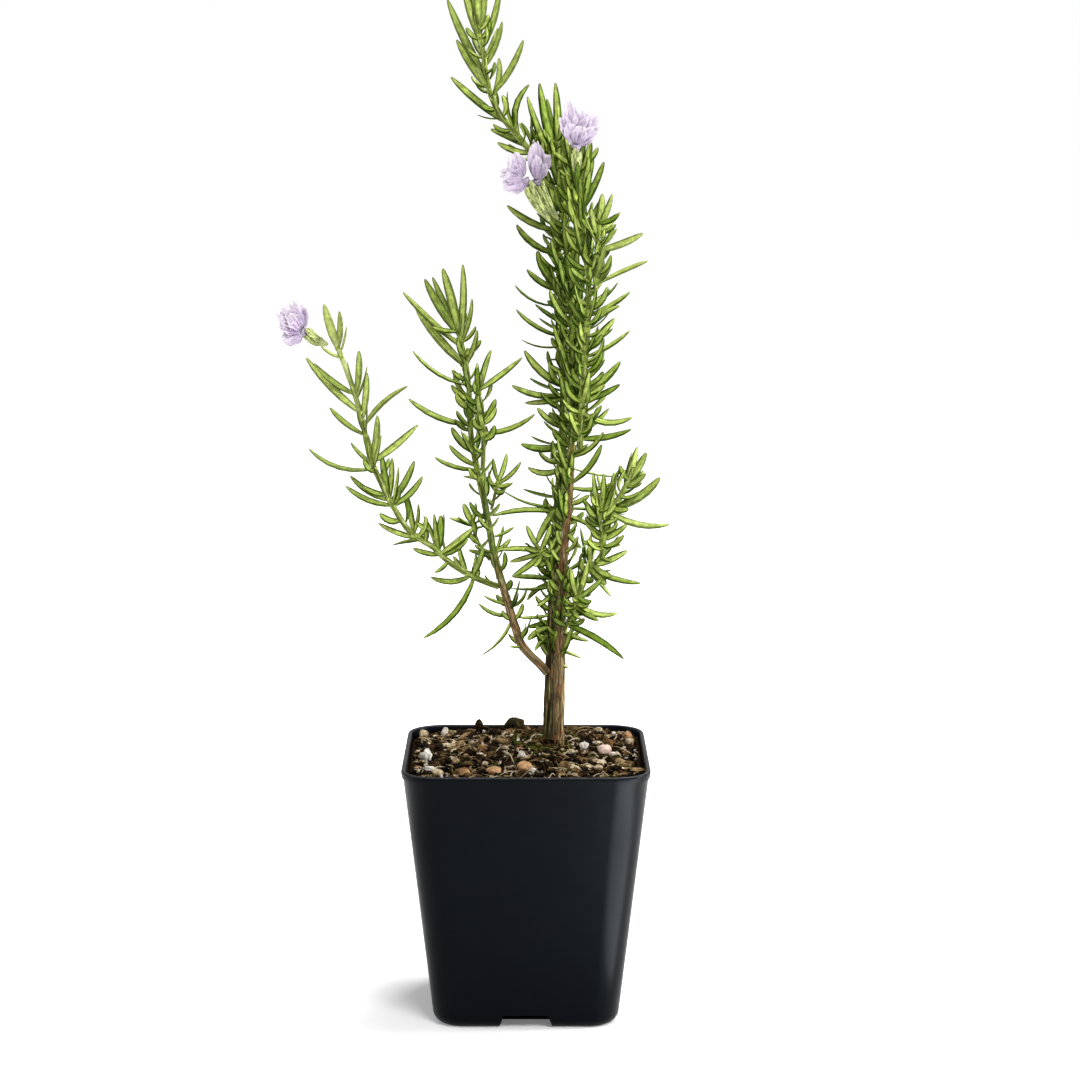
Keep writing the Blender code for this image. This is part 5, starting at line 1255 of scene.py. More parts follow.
# Loose bits of the mix: how many, the range of their longest semi-axis, of their flatness and of
# their tone, and how far they tilt.  They are bark chips, crumbs, white grit, rusty and green bits.
LITTER = (
    (1250, (1.0, 2.9), (0.26, 0.6), (0.02, 0.859), 0.45),
    (2600, (0.4, 1.1), (0.6, 1.0), (0.0, 0.859), 0.9),
    (190, (0.6, 1.5), (0.6, 1.0), (0.96, 1.0), 0.9),
    (34, (1.0, 1.9), (0.45, 0.8), (0.91, 0.954), 0.5),
    (130, (0.8, 1.8), (0.3, 0.7), (0.86, 0.909), 0.6),
)


@dataclass
class Bed:
    """The potting mix: a plug with a crumbly crust, loose chips, fibres, stones and moss."""

    pot: Pot
    edge_height: float = 91.0
    mound: float = 5.0
    mound_middle: tuple[float, float] = (8.0, 9.0)
    mound_spread: float = 30.0
    gap: float = 0.15
    underside: float = 8.0
    fibre_count: int = 320
    moss_middle: tuple[float, float] = (8.0, 12.0)
    moss_reach: float = 15.0
    moss_tone: float = 0.88
    moss_share: float = 0.45
    tilt: float = 0.028

    def height(self, x: np.ndarray, y: np.ndarray) -> np.ndarray:
        """Height of the crust: a mound beside the stems, two slow waves and a rise to the back."""
        away = np.hypot(x - self.mound_middle[0], y - self.mound_middle[1])
        mound = self.mound * np.exp(-(away / self.mound_spread) ** 2)
        waves = 0.5 * np.sin(0.55 * x + 0.8) * np.cos(0.47 * y) + 0.35 * np.sin(0.9 * y + 0.3 * x)
        return self.edge_height + mound + waves + self.tilt * y

    def plug(self, rng: Rng) -> Skin:
        """The plug's underside, its sides and its rough crust as one closed skin."""
        inset = self.pot.wall + self.gap
        sides = [self.pot.outline(z, inset) for z in (self.underside, 30.0, 60.0, 80.0)]
        rim = self.pot.outline(self.edge_height, inset)
        shares = np.linspace(1.0, 0.02, 70)[:, None, None]
        crust = rim[None] * np.array([1.0, 1.0, 0.0]) * shares
        x, y = crust[..., 0], crust[..., 1]
        grit = sum(np.sin(a * x + b * y + c) for a, b, c in rng.uniform(-2.2, 2.2, (14, 3))) * 0.10
        jitter = rng.uniform(-0.28, 0.28, x.shape)
        crust[..., 2] = self.height(x, y) - 0.5 + grit + jitter
        under = self.pot.outline(self.underside, inset + 3.0)
        return close_tubes(np.concatenate([np.stack([under] + sides), crust])[None])

    def scatter(self, count: int, rng: Rng, margin: float = 2.0) -> np.ndarray:
        """Points spread evenly over the crust, (count, 3)."""
        half = self.pot.outline(self.edge_height, self.pot.wall + margin)[0, 0]
        corner = self.pot.top_corner
        tries = rng.uniform(-half, half, (count * 2, 2))
        over = np.maximum(np.abs(tries) - (half - corner), 0.0)
        x, y = tries[np.hypot(over[:, 0], over[:, 1]) < corner][:count].T
        return np.stack([x, y, self.height(x, y)], axis=-1)

    def chips(self, rng: Rng) -> Skin:
        """Bark chips, crumbs and white grit lying on the crust."""
        skins = []
        for count, size, flat, tones, tilt in LITTER:
            centres = self.scatter(count, rng)
            count = len(centres)
            longest = rng.uniform(*size, count)
            axes = np.stack([longest, longest * rng.uniform(0.35, 0.8, count),
                             longest * rng.uniform(*flat, count) * 0.6], axis=-1)
            centres[:, 2] += axes[:, 2] * rng.uniform(0.1, 1.1, count)
            tone = rng.uniform(*tones, count)
            close = np.hypot(*(centres[:, :2] - self.moss_middle).T) < self.moss_reach
            mossy = close & (rng.uniform(0, 1, count) < self.moss_share)
            tone = np.where(mossy, self.moss_tone, tone)
            skins.append(Lumps(3, 6, 0.22).grow(centres, axes, spins(count, tilt, rng), tone, rng))
        x, y, *axes, tone = np.array(STONES).T
        centres = np.stack([x, y, self.height(x, y) + 1.2], axis=-1)
        turns = spins(len(x), 0.3, rng)
        skins.append(Lumps(6, 9, 0.16).grow(centres, np.stack(axes, axis=-1), turns, tone, rng))
        return Skin.joined(skins)

    def threads(self, rng: Rng) -> Skin:
        """Root and straw fibres: thin curved tubes whose middle arches a little."""
        start = self.scatter(self.fibre_count, rng, margin=7.0)
        count = len(start)
        heading = rng.uniform(0, 2 * math.pi, count)
        length = rng.uniform(3.0, 11.0, count)
        t = np.linspace(0, 1, 7)[None, :]
        bend = heading[:, None] + rng.normal(0, 0.9, count)[:, None] * t
        step = length[:, None] / 6
        x = start[:, :1] + np.cumsum(np.cos(bend) * step, axis=1)
        y = start[:, 1:2] + np.cumsum(np.sin(bend) * step, axis=1)
        limit = self.pot.outline(self.edge_height, self.pot.wall + 3.5)[0, 0]
        x, y = np.clip(x, -limit, limit), np.clip(y, -limit, limit)
        arch = rng.uniform(0.2, 2.0, count)[:, None] * np.sin(math.pi * t)
        z = self.height(x, y) + 0.5 + arch
        centre = np.stack([x, y, z], axis=-1)
        way = unit(np.gradient(centre, axis=1))
        side = unit(np.cross(way, SKYWARD))
        radius = (rng.uniform(0.13, 0.34, count)[:, None] * (1 - 0.5 * t))[..., None, None]
        sink = np.cross(way, side)
        ring = wheel(side[:, :, None], sink[:, :, None], round_angles(4))
        tone = rng.uniform(0.50, 0.85, count)[:, None, None]
        rings = centre[:, :, None] + ring * radius
        return close_tubes(rings, tone=tone, grain=rings)

    def stone(self, name: str, shift: Knot, axes: Knot, finish: Finish, slot: Slot,
              rough: float = 0.05) -> None:
        """One stone or lump in the place of its CAD node.

        Args:
            name: The CAD node.
            shift: How far its middle lies from the node's.
            axes: Semi-axes.
            finish: What it is made of.
            slot: The record's slot.
            rough: How uneven its surface is.
        """
        rng = np.random.default_rng(len(name) * 31)
        low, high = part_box(name)
        middle = (np.array(low) + np.array(high)) / 2 / MM + np.array(shift)
        turn = 0.3 + 0.05 * middle[0]
        c, s = math.cos(turn), math.sin(turn)
        spin = np.array([[[c, -s, 0.0], [s, c, 0.0], [0.0, 0.0, 1.0]]])
        lat = (np.arange(18) + 1.0) / 19 * math.pi
        lat, lon = np.meshgrid(lat, round_angles(28), indexing="ij")
        facets = ripples(lon, lat * 3, (2, 3, 5), 1.3, rng) * rough * 2.2
        fine = rng.uniform(-rough, rough, lat.shape) * 0.25
        swell = (1 + facets + fine)[..., None]
        lump = ball(lat, lon) * swell * np.array(axes)
        placed = np.einsum("bij,rsj->brsi", spin, lump) + middle
        close_tubes(placed, grain=placed).piece(f"{name}_face", finish, slot, [name])

    def build(self) -> None:
        """Make the mix and everything that lies on it."""
        rng = np.random.default_rng(41)
        self.plug(rng).piece("mix_plug", CRUST, Slot.MIX, ["potting_mix"])
        self.chips(rng).piece("mix_chips", CHIPS, Slot.MIX, smooth=False)
        self.threads(rng).piece("mix_fibres", CHIPS, Slot.MIX)
        for name, shift, axes, finish, slot, rough in (
                ("clod", (-0.8, 3.5, 2.6), (1.5, 1.6, 2.3), CRUST, Slot.MIX, 0.08),
                ("moss_lump", (0.0, 4.0, 1.6), (3.5, 2.4, 2.4), MOSS, Slot.MOSS, 0.16),
                ("tan_pebble", (0.0, 0.0, 0.4), (2.6, 2.3, 1.9), TAN, Slot.TAN_STONE, 0.06),
                ("long_pebble", (2.5, 0.5, 0.2), (2.9, 2.0, 1.4), TAN, Slot.TAN_STONE, 0.08),
                ("rose_pebble", (1.0, 3.0, 0.6), (2.7, 2.4, 1.9), ROSE, Slot.PALE_STONE, 0.07),
                ("white_chip", (0.0, 0.0, 0.6), (2.6, 1.6, 2.2), WHITE, Slot.PALE_STONE, 0.14)):
            self.stone(name, shift, axes, finish, slot, rough)


# ------------------------------------------------------------------ stems

# Stems that differ from the rest: how far up they are woody, how many loose strips of bark they
# have, how much painted shade darkens their foot, how far their foot reaches into the stem that
# bears it, their girth, and how pale they grow under the flower.
WOODY = {
    "main_stem": (205.0, 52, 0.0, 0.5, 0.98),
    "arching_stem": (168.0, 14, 1.0, 0.5, 1.12),
    "left_stem": (164.0, 18, 0.0, 5.0, 1.0),
    "far_left_stem": (0.0, 0, 0.0, 1.6, 1.14, 0.85),
}

# Stems that are brown for most of their length.
BROWN = ("main_stem", "left_stem")


@dataclass
class Stem:
    """A stem: a ridged, slightly square tube with swollen nodes and, where woody, loose fibres."""

    name: str
    course: Course
    woody_to: float = 0.0
    strips: int = 0
    shade: float = 0.0
    sink: float = 1.6
    girth: float = 0.98
    bloom: float = 0.0
    bloom_heights: tuple[float, float] = (218.0, 243.0)
    shade_heights: tuple[float, float] = (150.0, 215.0)
    green_below: float = 26.0
    green_above: float = 14.0
    collar: float = 96.0
    ring_step: float = 0.9
    sides: int = 20
    node_step: float = 6.0

    def wood(self, height: np.ndarray) -> np.ndarray:
        """How woody the stem is at a height, from 1 to 0."""
        return 1 - smooth_step(height, self.woody_to - self.green_below,
                               self.woody_to + self.green_above)

    def tube(self, rng: Rng) -> Skin:
        """The stem's skin: radius times 1 + ridges + node swellings, round the course."""
        rows = max(int(self.course.length / self.ring_step), 6)
        reach = np.linspace(0, self.course.length, rows)
        turn = round_angles(self.sides)
        centre = self.course.at(reach)
        sunk = self.sink * (1 - smooth_step(reach, 0.0, 3.0 * self.sink))[:, None]
        centre = centre - self.course.way(np.zeros(1)) * sunk
        wood = self.wood(centre[:, 2])[:, None]
        coarse = ripples(turn[None], reach[:, None], (3, 5, 7, 9), 7.0, rng)
        square = 0.05 * np.cos(4 * turn)[None]
        beat = np.abs(reach / self.node_step % 1 - 0.5) * self.node_step
        nodes = 0.07 * np.exp(-(beat / 0.8) ** 2)[:, None]
        radius = self.girth * self.course.radius(reach)[:, None] * (
            1 + (0.045 + 0.12 * wood) * coarse + square * (1 - wood) + nodes * (1 - 0.4 * wood))
        first, second = self.course.frames(reach)
        rings = centre[:, None] + wheel(first[:, None], second[:, None], turn) * radius[..., None]
        grain = np.stack([np.cos(turn)[None] * radius, np.sin(turn)[None] * radius,
                          np.broadcast_to(reach[:, None], radius.shape)], axis=-1)
        # Painted shade on the stem's foot, fading out between the shade heights.
        shade = self.shade * (1 - smooth_step(centre[:, 2], *self.shade_heights))
        pale = self.bloom * smooth_step(centre[:, 2], *self.bloom_heights)
        return close_tubes(rings[None], wood=wood[None], grain=grain[None], tone=0.0,
                           shade=shade[None, :, None], pale=pale[None, :, None])

    def loose_fibres(self, rng: Rng) -> Skin:
        """Strips of bark that follow the stem and lift a little at their ends."""
        top = self.course.reach_at(np.array(self.woody_to))
        low = self.course.reach_at(np.array(self.collar))
        length = rng.uniform(5.0, 22.0, self.strips)
        begin = rng.uniform(low, np.maximum(top - length, low + 1.0), self.strips)
        t = np.linspace(0, 1, 9)
        reach = begin[:, None] + length[:, None] * t
        turn = rng.uniform(0, 2 * math.pi, self.strips)[:, None] \
            + rng.normal(0, 0.35, self.strips)[:, None] * t
        flat = reach.ravel()
        first, second = self.course.frames(flat)
        shape = reach.shape + (3,)
        first, second = first.reshape(shape), second.reshape(shape)
        way = self.course.way(flat).reshape(shape)
        out = wheel(first, second, turn)
        side = np.cross(way, out)
        lift = rng.uniform(0.0, 0.5, self.strips)[:, None] * np.abs(2 * t - 1) ** 5
        stand = self.girth * self.course.radius(flat).reshape(reach.shape) * 1.03 + lift
        centre = self.course.at(flat).reshape(shape) + out * stand[..., None]
        width = rng.uniform(0.16, 0.42, self.strips)[:, None] * (1.1 - np.abs(2 * t - 1) ** 3)
        angle = round_angles(5)
        rings = (centre[:, :, None]
                 + out[:, :, None] * (0.11 * np.cos(angle))[None, None, :, None]
                 + side[:, :, None] * width[:, :, None, None] * np.sin(angle)[None, None, :, None])
        grain = rings + rng.uniform(0, 60, self.strips)[:, None, None, None]
        wood = self.wood(centre[..., 2])[..., None]
        tone = rng.uniform(0, 1, self.strips)[:, None, None]
        return close_tubes(rings, wood=wood, grain=grain, tone=tone)

    def build(self) -> None:
        """Make the stem's piece."""
        rng = np.random.default_rng(sum(map(ord, self.name)))
        skins = [self.tube(rng)]
        if self.strips:
            skins.append(self.loose_fibres(rng))
        slot = Slot.WOOD if self.name in BROWN else Slot.GREEN_WOOD
        Skin.joined(skins).piece(f"{self.name}_bark", BARK, slot, [self.name])


# ------------------------------------------------------------------ leaves

@dataclass
class Needles:
    """A batch of needle leaves, each on a quadratic curve from its base to its tip."""

    start: np.ndarray
    control: np.ndarray
    tip: np.ndarray
    facing: np.ndarray
    width: np.ndarray
    stations: tuple[float, ...] = (0.0, 0.12, 0.30, 0.48, 0.66, 0.82, 0.93, 0.98)
    round_stops: tuple[float, ...] = (0.0, 0.25, 0.5, 0.75, 1.0, 1.5)
    thickness: float = 0.72
    groove: float = 0.45
    fullness: float = 1.24

    def skin(self, rng: Rng, pallor: float = 0.0) -> Skin:
        """The batch's skin.

        Across the leaf its top is a low arch whose edges roll down by the square of the distance
        from the middle, with a groove along the middle; below it is flatter.

        Args:
            rng: Draws each leaf's twist and tone.
            pallor: How pale and young the leaves are, from 0 to 1.

        Returns:
            The skin, marked with grain, across, along, face, tone and pale.
        """
        t = np.array(self.stations)[None, :, None]
        start, control, tip = (k[:, None] for k in (self.start, self.control, self.tip))
        centre = start * (1 - t) ** 2 + control * 2 * t * (1 - t) + tip * t ** 2
        way = unit(2 * (control - start) * (1 - t) + 2 * (tip - control) * t)
        side = unit(np.cross(self.facing[:, None], way))
        up = np.cross(way, side)
        count = len(self.width)
        along = t[..., 0]
        twist = rng.normal(0, 0.25, count)[:, None] + rng.normal(0, 0.35, count)[:, None] * along
        side, up = wheel(side, up, twist), wheel(up, -side, twist)
        swell = 0.50 + 0.50 * np.sin(math.pi / 2 * np.minimum(along / 0.40, 1.0))
        half = self.fullness * self.width[:, None] / 2 * swell * (1 - along ** 5) ** 0.7
        angle = np.array(self.round_stops) * math.pi
        across, rise = np.cos(angle), np.sin(angle)
        groove = self.groove * np.maximum(rise, 0.0) ** 6
        section = self.thickness * (0.6 * rise - 0.35 * across ** 2 - groove)
        rings = (centre[:, :, None] + side[:, :, None] * (half[..., None] * across)[..., None]
                 + up[:, :, None] * (half[..., None] * section)[..., None])
        length = np.linalg.norm(self.tip - self.start, axis=-1)[:, None, None]
        offset = rng.uniform(0, 90, count)[:, None, None]
        wide = np.broadcast_to(across * half[..., None], rings.shape[:3])
        grain = np.stack([wide + offset, np.broadcast_to(rise * 0.5 + offset, rings.shape[:3]),
                          np.broadcast_to(along[..., None] * length, rings.shape[:3])], axis=-1)
        tone = np.clip(rng.beta(1.3, 2.2, count), 0, 1)[:, None, None]
        pale = pallor * rng.uniform(0.7, 1.1, count)[:, None, None]
        return close_tubes(rings, grain=grain, across=across[None, None], along=along[..., None],
                           face=rise[None, None], tone=tone, pale=pale)


# Sets of young leaves, and how pale they are.
PALLOR = {"far_left_buds": 0.5, "arching_tuft": 0.15, "left_tuft": 0.12, "right_low_tuft": 0.15,
          "right_sprig_leaves": 0.2, "far_left_leaves_upper": 0.15}

# Stretches of stem that bear small leaves in the axils: the stem, its low and high end as
# heights, the spacing of the pairs, and the shortest and longest leaf.
AXILS = (
    ("main_stem", 131, 160, 4.6, (6, 11)), ("main_stem", 160, 205, 3.6, (7, 12)),
    ("main_stem", 206, 318, 2.1, (8, 14)), ("arching_stem", 130, 205, 3.0, (7, 12)),
    ("arching_stem", 207, 300, 2.3, (8, 14)), ("arching_stem", 308, 358, 4.0, (8, 13)),
    ("flower_stem", 210, 311, 2.2, (8, 15)), ("right_sprig", 266, 288, 3.0, (7, 12)),
    ("left_stem", 134, 205, 6.5, (6, 11)), ("left_stem", 206, 247, 4.5, (8, 13)),
    ("left_fork", 204, 231, 4.5, (7, 12)), ("far_left_stem", 158, 200, 8.0, (7, 12)),
    ("right_low_stem", 140, 198, 2.2, (7, 13)), ("right_spur", 178, 189, 2.6, (6, 11)),
    ("left_spur", 168, 178, 3.6, (6, 10)), ("inner_left_shoot", 164, 170, 1.2, (7, 12)),
    ("left_twig", 186, 194, 2.8, (6, 10)), ("inner_right_shoot", 141, 155, 1.4, (7, 13)),
)


@dataclass
class Foliage:
    """Every leaf of the plant, on its courses."""

    courses: dict[str, Course]
    pair_step: float = 12.0
    pair_reach: tuple[float, float] = (9.0, 13.0)
    pair_rise: tuple[float, float] = (8.0, 13.0)
    pair_drift: float = 5.0
    pair_width: tuple[float, float] = (1.7, 2.3)
    clasp: float = 0.26

    def front_and_back(self, name: str) -> list[tuple[float, ...]]:
        """The set's leaf pairs that point forward and back, as rows like its own."""
        chance = random.Random(name)
        course = self.courses[LEAF_SETS[name][0]]
        rows = []
        for low, high in [span[1:] for span in PAIRS if span[0] == name]:
            for z in np.arange(low, high + 0.5, self.pair_step):
                start = course.at(course.reach_at(z))
                for side in (-1, 1):
                    reach = chance.uniform(*self.pair_reach) * side
                    drift = chance.uniform(-self.pair_drift, self.pair_drift)
                    rise = chance.uniform(*self.pair_rise)
                    width = chance.uniform(*self.pair_width)
                    rows.append((z, start[0] + drift, start[2] + rise, 0.3, width, reach))
        return rows

    def needles(self, name: str) -> Needles:
        """The leaves of one set, from its rows."""
        stem, listed = LEAF_SETS[name]
        course = self.courses[stem]
        rows = np.array(list(listed) + self.front_and_back(name))
        reach = course.reach_at(rows[:, 0])
        start = course.at(reach)
        depth = start[:, 1] + rows[:, 5]
        tip = np.array([off_sheet(spot) for spot in zip(rows[:, 1], depth, rows[:, 2])])
        run, rise = (tip - start)[:, 0], (tip - start)[:, 2]
        hand = np.where(run >= 0, 1.0, -1.0) / np.hypot(run, rise)
        outward = np.stack([rise * hand, np.zeros_like(run), -run * hand], axis=-1)
        control = (start + tip) / 2 + outward * 2 * rows[:, 3:4]
        lean = np.where(rows[:, 5] <= 3.0, 1.0, -0.6)[:, None]
        facing = unit(course.way(reach) + FRONTWARD * lean * 0.9)
        return Needles(start, control, tip, facing, rows[:, 4])

    def axil_needles(self, course: Course, low: float, high: float, step: float,
                     length: tuple[float, float], rng: Rng) -> Needles:
        """Small leaves in crossed pairs up a stretch of stem.

        Args:
            course: The stem.
            low: Height where the stretch starts.
            high: Height where it ends.
            step: Spacing of the pairs.
            length: Shortest and longest leaf.
            rng: Draws their places and sizes.

        Returns:
            The leaves.
        """
        heights = np.repeat(np.arange(low, high, step), 2)
        count = len(heights)
        heights = heights + rng.uniform(-0.3, 0.3, count) * step
        reach = course.reach_at(heights)
        start, way = course.at(reach), course.way(reach)
        first, second = course.frames(reach)
        pair = np.arange(count)
        azimuth = (pair // 2) * 1.571 + (pair % 2) * math.pi + 0.6 + rng.normal(0, 0.45, count)
        out = wheel(first, second, azimuth)
        long = rng.uniform(*length, count) * (0.72 + 0.28 * np.abs(out[:, 1]))
        pitch = rng.uniform(0.45, 1.0, count)
        tip = start + out * (long * np.cos(pitch))[:, None] + way * (long * np.sin(pitch))[:, None]
        control = start + out * (long * 0.52)[:, None] + way * (long * 0.16)[:, None]
        facing = unit(way + FRONTWARD * np.where(out[:, 1:2] < 0.4, 1.1, -0.7))
        return Needles(start, control, tip, facing, rng.uniform(1.6, 2.4, count))

    def clasps(self, name: str, rng: Rng) -> Skin | None:
        """Leaf bases: small swollen collars round the green stem under each leaf of a set."""
        stem, listed = LEAF_SETS[name]
        course = self.courses[stem]
        heights = np.array([row[0] for row in listed])
        heights = heights[heights > WOODY.get(stem, (0.0,))[0] + 8.0]
        if not len(heights):
            return None
        reach = np.clip(course.reach_at(heights), 1.2, course.length - 1.2)
        offsets = np.array([-1.1, -0.4, 0.4, 1.1])
        bulge = np.array([0.02, 1.0, 0.85, 0.02])
        turn = round_angles(10)
        spots = (reach[:, None] + offsets).ravel()
        first, second = course.frames(spots)
        shape = (len(reach), 4, 1, 3)
        phase = rng.uniform(0, 6, len(reach))[:, None, None]
        lobes = 0.75 + 0.35 * np.cos(2 * turn[None, None] + phase)
        radius = course.radius(spots).reshape(shape[:3]) + self.clasp * bulge[None, :, None] * lobes
        out = wheel(first.reshape(shape), second.reshape(shape), turn)
        rings = course.at(spots).reshape(shape) + out * radius[..., None]
        tone = rng.uniform(0, 0.5, len(reach))[:, None, None]
        return close_tubes(rings, grain=rings, across=0.5, along=0.12, face=1.0, tone=tone)

    def build(self) -> None:
        """Make one piece for each leaf set and one of small axil leaves for each leafy stem."""
        for name in LEAF_SETS:
            rng = np.random.default_rng(sum(map(ord, name)))
            skins = [self.needles(name).skin(rng, PALLOR.get(name, 0.0)), self.clasps(name, rng)]
            skin = Skin.joined([skin for skin in skins if skin])
            skin.piece(f"{name}_needles", LEAF, Slot.LEAF, [name])
        for stem, low, high, step, length in AXILS:
            rng = np.random.default_rng(low + high)
            needles = self.axil_needles(self.courses[stem], low, high, step, length, rng)
            needles.skin(rng).piece(f"{stem}_axil_needles_{low}", LEAF, Slot.LEAF)


# ------------------------------------------------------------------ flowers

@dataclass
class Petal:
    """One lobe of a corolla: a cupped, ruffled sheet from its root to its tip.

    Places are offsets from the flower's throat; the front of the sheet looks along face, its
    middle bows that way, and its edges rise by the cup.
    """

    root: Knot
    tip: Knot
    width: float
    face: Knot = (0.0, -1.0, 0.25)
    bow: float = 0.9
    cup: float = 0.9
    ruffle: float = 0.32


@dataclass
class Flower:
    """A rosemary flower: ribbed calyx, tube, lobed lips, stamens and style."""

    name: str
    base: Knot
    throat: Knot
    calyx_radius: float
    tube_length: float
    petals: tuple[Petal, ...]
    stamens: Knot = (0.0, -0.3, 1.0)
    lip_back: Knot = (0.0, 0.0, 1.0)
    petal_wall: float = 0.16
    calyx_foot: float = 0.5

    def axes(self) -> np.ndarray:
        """Rows: the flower's forward, sideways and lip directions."""
        way = unit(np.array(self.throat) - np.array(self.base))
        lip = np.array(self.lip_back) + way * 0.01 + np.array([0.0, 0.02, 0.0])
        side = unit(np.cross(lip, way))
        return np.stack([way, side, np.cross(way, side)])

    def rings(self, middle: np.ndarray, radius: np.ndarray, turn: np.ndarray) -> np.ndarray:
        """Rings square to the flower's axis, round their middles."""
        _, side, lip = self.axes()
        return (middle + (radius * np.cos(turn))[..., None] * side
                + (radius * np.sin(turn))[..., None] * lip)

    @property
    def calyx_length(self) -> float:
        """From the flower's base to the calyx's mouth."""
        whole = np.linalg.norm(np.array(self.throat) - np.array(self.base))
        return float(whole) - self.tube_length

    def calyx(self, rng: Rng) -> Skin:
        """A ribbed cup: out along its wall, over a toothed mouth and back down inside."""
        axes = self.axes()
        t = np.concatenate([np.linspace(0, 1, 16), np.linspace(0.98, 0.25, 9)])
        inner = np.arange(25) > 15
        turn = round_angles(66)
        foot = self.calyx_foot
        fill = np.sin(math.pi / 2 * np.minimum(t * 1.1, 1.0)) ** 0.9
        belly = foot + (self.calyx_radius - foot) * fill
        rib = np.cos(11 * turn)[None]
        folds = ripples(turn[None], 6 * t[:, None], (2, 3, 5), 1.6, rng)
        ribs = (1 + 0.09 * rib * np.sin(math.pi * np.minimum(t, 0.9))[:, None]
                + 0.16 * folds * (1 - t[:, None] ** 4))
        wall = np.where(inner, 0.30, 0.0)
        radius = (belly[:, None] - wall[:, None]) * ribs
        teeth = 1.6 * np.maximum(np.cos(1.5 * (turn - 0.4)), 0.0) ** 2
        ahead = t[:, None] * self.calyx_length + smooth_step(t, 0.8, 1.0)[:, None] * teeth[None]
        bow = 0.7 * np.sin(math.pi * t)[:, None, None]
        middle = np.array(self.base) + ahead[..., None] * axes[0] - bow * axes[2]
        around = 2 * np.cos(turn)[None], 2 * np.sin(turn)[None]
        grain = np.stack(np.broadcast_arrays(*around, ahead), axis=-1)
        return close_tubes(self.rings(middle, radius, turn)[None], grain=grain[None],
                           tone=0.5 + 0.5 * rib[None])

    def tube(self) -> Skin:
        """The corolla's tube: it widens from the calyx's mouth to the throat, open inside."""
        t = np.concatenate([np.linspace(-0.8, 1, 12), np.linspace(0.95, 0.1, 6)])
        inner = np.arange(18) > 11
        radius = 1.15 + 0.75 * smooth_step(t, 0.0, 1.0) - np.where(inner, 0.22, 0.0)
        ahead = self.calyx_length + t * self.tube_length
        middle = np.array(self.base) + ahead[:, None, None] * self.axes()[0]
        rings = self.rings(middle, radius[:, None], round_angles(20))
        return close_tubes(rings[None], grain=rings[None], along=0.2)

    def lobes(self, rng: Rng) -> Skin:
        """The lips: every petal's sheet, rounded and frilled, made a thin closed skin."""
        v = np.linspace(0.0, 1.0, 20)[:, None]
        u = np.linspace(-1, 1, 25)[None, :]
        skins = []
        for petal in self.petals:
            root, tip = np.array(petal.root), np.array(petal.tip)
            length = float(np.linalg.norm(tip - root))
            along = unit(tip - root)
            side = unit(np.cross(np.array(petal.face), along))
            face = np.cross(along, side)
            phase = rng.uniform(0, 2 * math.pi, 4)
            teeth = 0.035 * np.sin(7 * u + phase[0]) + 0.018 * np.sin(17 * u + phase[2])
            edge = (1 + teeth * v ** 3 - 0.34 * np.abs(u) ** 2.6 * v ** 2
                    - 0.07 * np.exp(-(u / 0.12) ** 2) * v ** 4)
            half = petal.width / 2 * np.sin(math.pi * (0.08 + 0.58 * v ** 0.8)) ** 0.9
            half = half * (1 + 0.04 * np.sin(13 * v + phase[3]))
            frill = petal.ruffle * v * (np.sin(5.5 * u + 2.2 * v + phase[1])
                                        + 0.7 * np.sin(14.5 * u + 1.4 * v + phase[2]))
            crease = -0.3 * np.exp(-(u / 0.14) ** 2) * np.sin(math.pi * v)
            normal = petal.bow * np.sin(math.pi * v) + petal.cup * u ** 2 * v + frill + crease
            sheet = (np.array(self.throat) + root + (v * length * edge)[..., None] * along
                     + (u * half)[..., None] * side + normal[..., None] * face)
            fan = u * 2.4 + rng.uniform(0, 40)
            grain = np.stack(np.broadcast_arrays(fan, fan * 0.0, v * 5.0), axis=-1)
            skins.append(close_sheets(sheet[None], self.petal_wall, grain=grain[None],
                                      along=v[None]))
        return Skin.joined(skins)

    def filaments(self) -> Skin:
        """Two stamens and a style that arch out of the throat, with a lump at each end."""
        ahead = unit(np.array(self.stamens))
        aside = unit(np.cross(ahead, FRONTWARD))
        bend = unit(np.cross(aside, ahead))
        t = np.linspace(0, 1, 14)
        length = np.array([5.0, 6.5, 5.4])[:, None]
        swing = np.array([-1.1, 0.2, 1.2])[:, None]
        centre = (np.array(self.throat) + (length * t)[..., None] * ahead
                  + (swing * t)[..., None] * aside + (length * 0.35 * t ** 2)[..., None] * bend)
        radius = 0.12 + 0.20 * np.exp(-((t - 0.95) / 0.05) ** 2)
        way = unit(np.gradient(centre, axis=1))
        first = unit(np.cross(way, bend))
        second = np.cross(way, first)
        out = wheel(first[:, :, None], second[:, :, None], round_angles(6))
        rings = centre[:, :, None] + radius[None, :, None, None] * out
        return close_tubes(rings, grain=rings, along=0.8)

    def build(self) -> None:
        """Make the calyx and the corolla."""
        rng = np.random.default_rng(sum(map(ord, self.name)))
        calyx = self.name.replace("flower", "calyx")
        corolla = self.name.replace("flower", "corolla")
        self.calyx(rng).piece(f"{calyx}_cup", CALYX, Slot.CALYX, [calyx])
        skins = [self.tube(), self.lobes(rng), self.filaments()]
        Skin.joined(skins).piece(f"{corolla}_petals", PETAL, Slot.PETAL, [corolla])


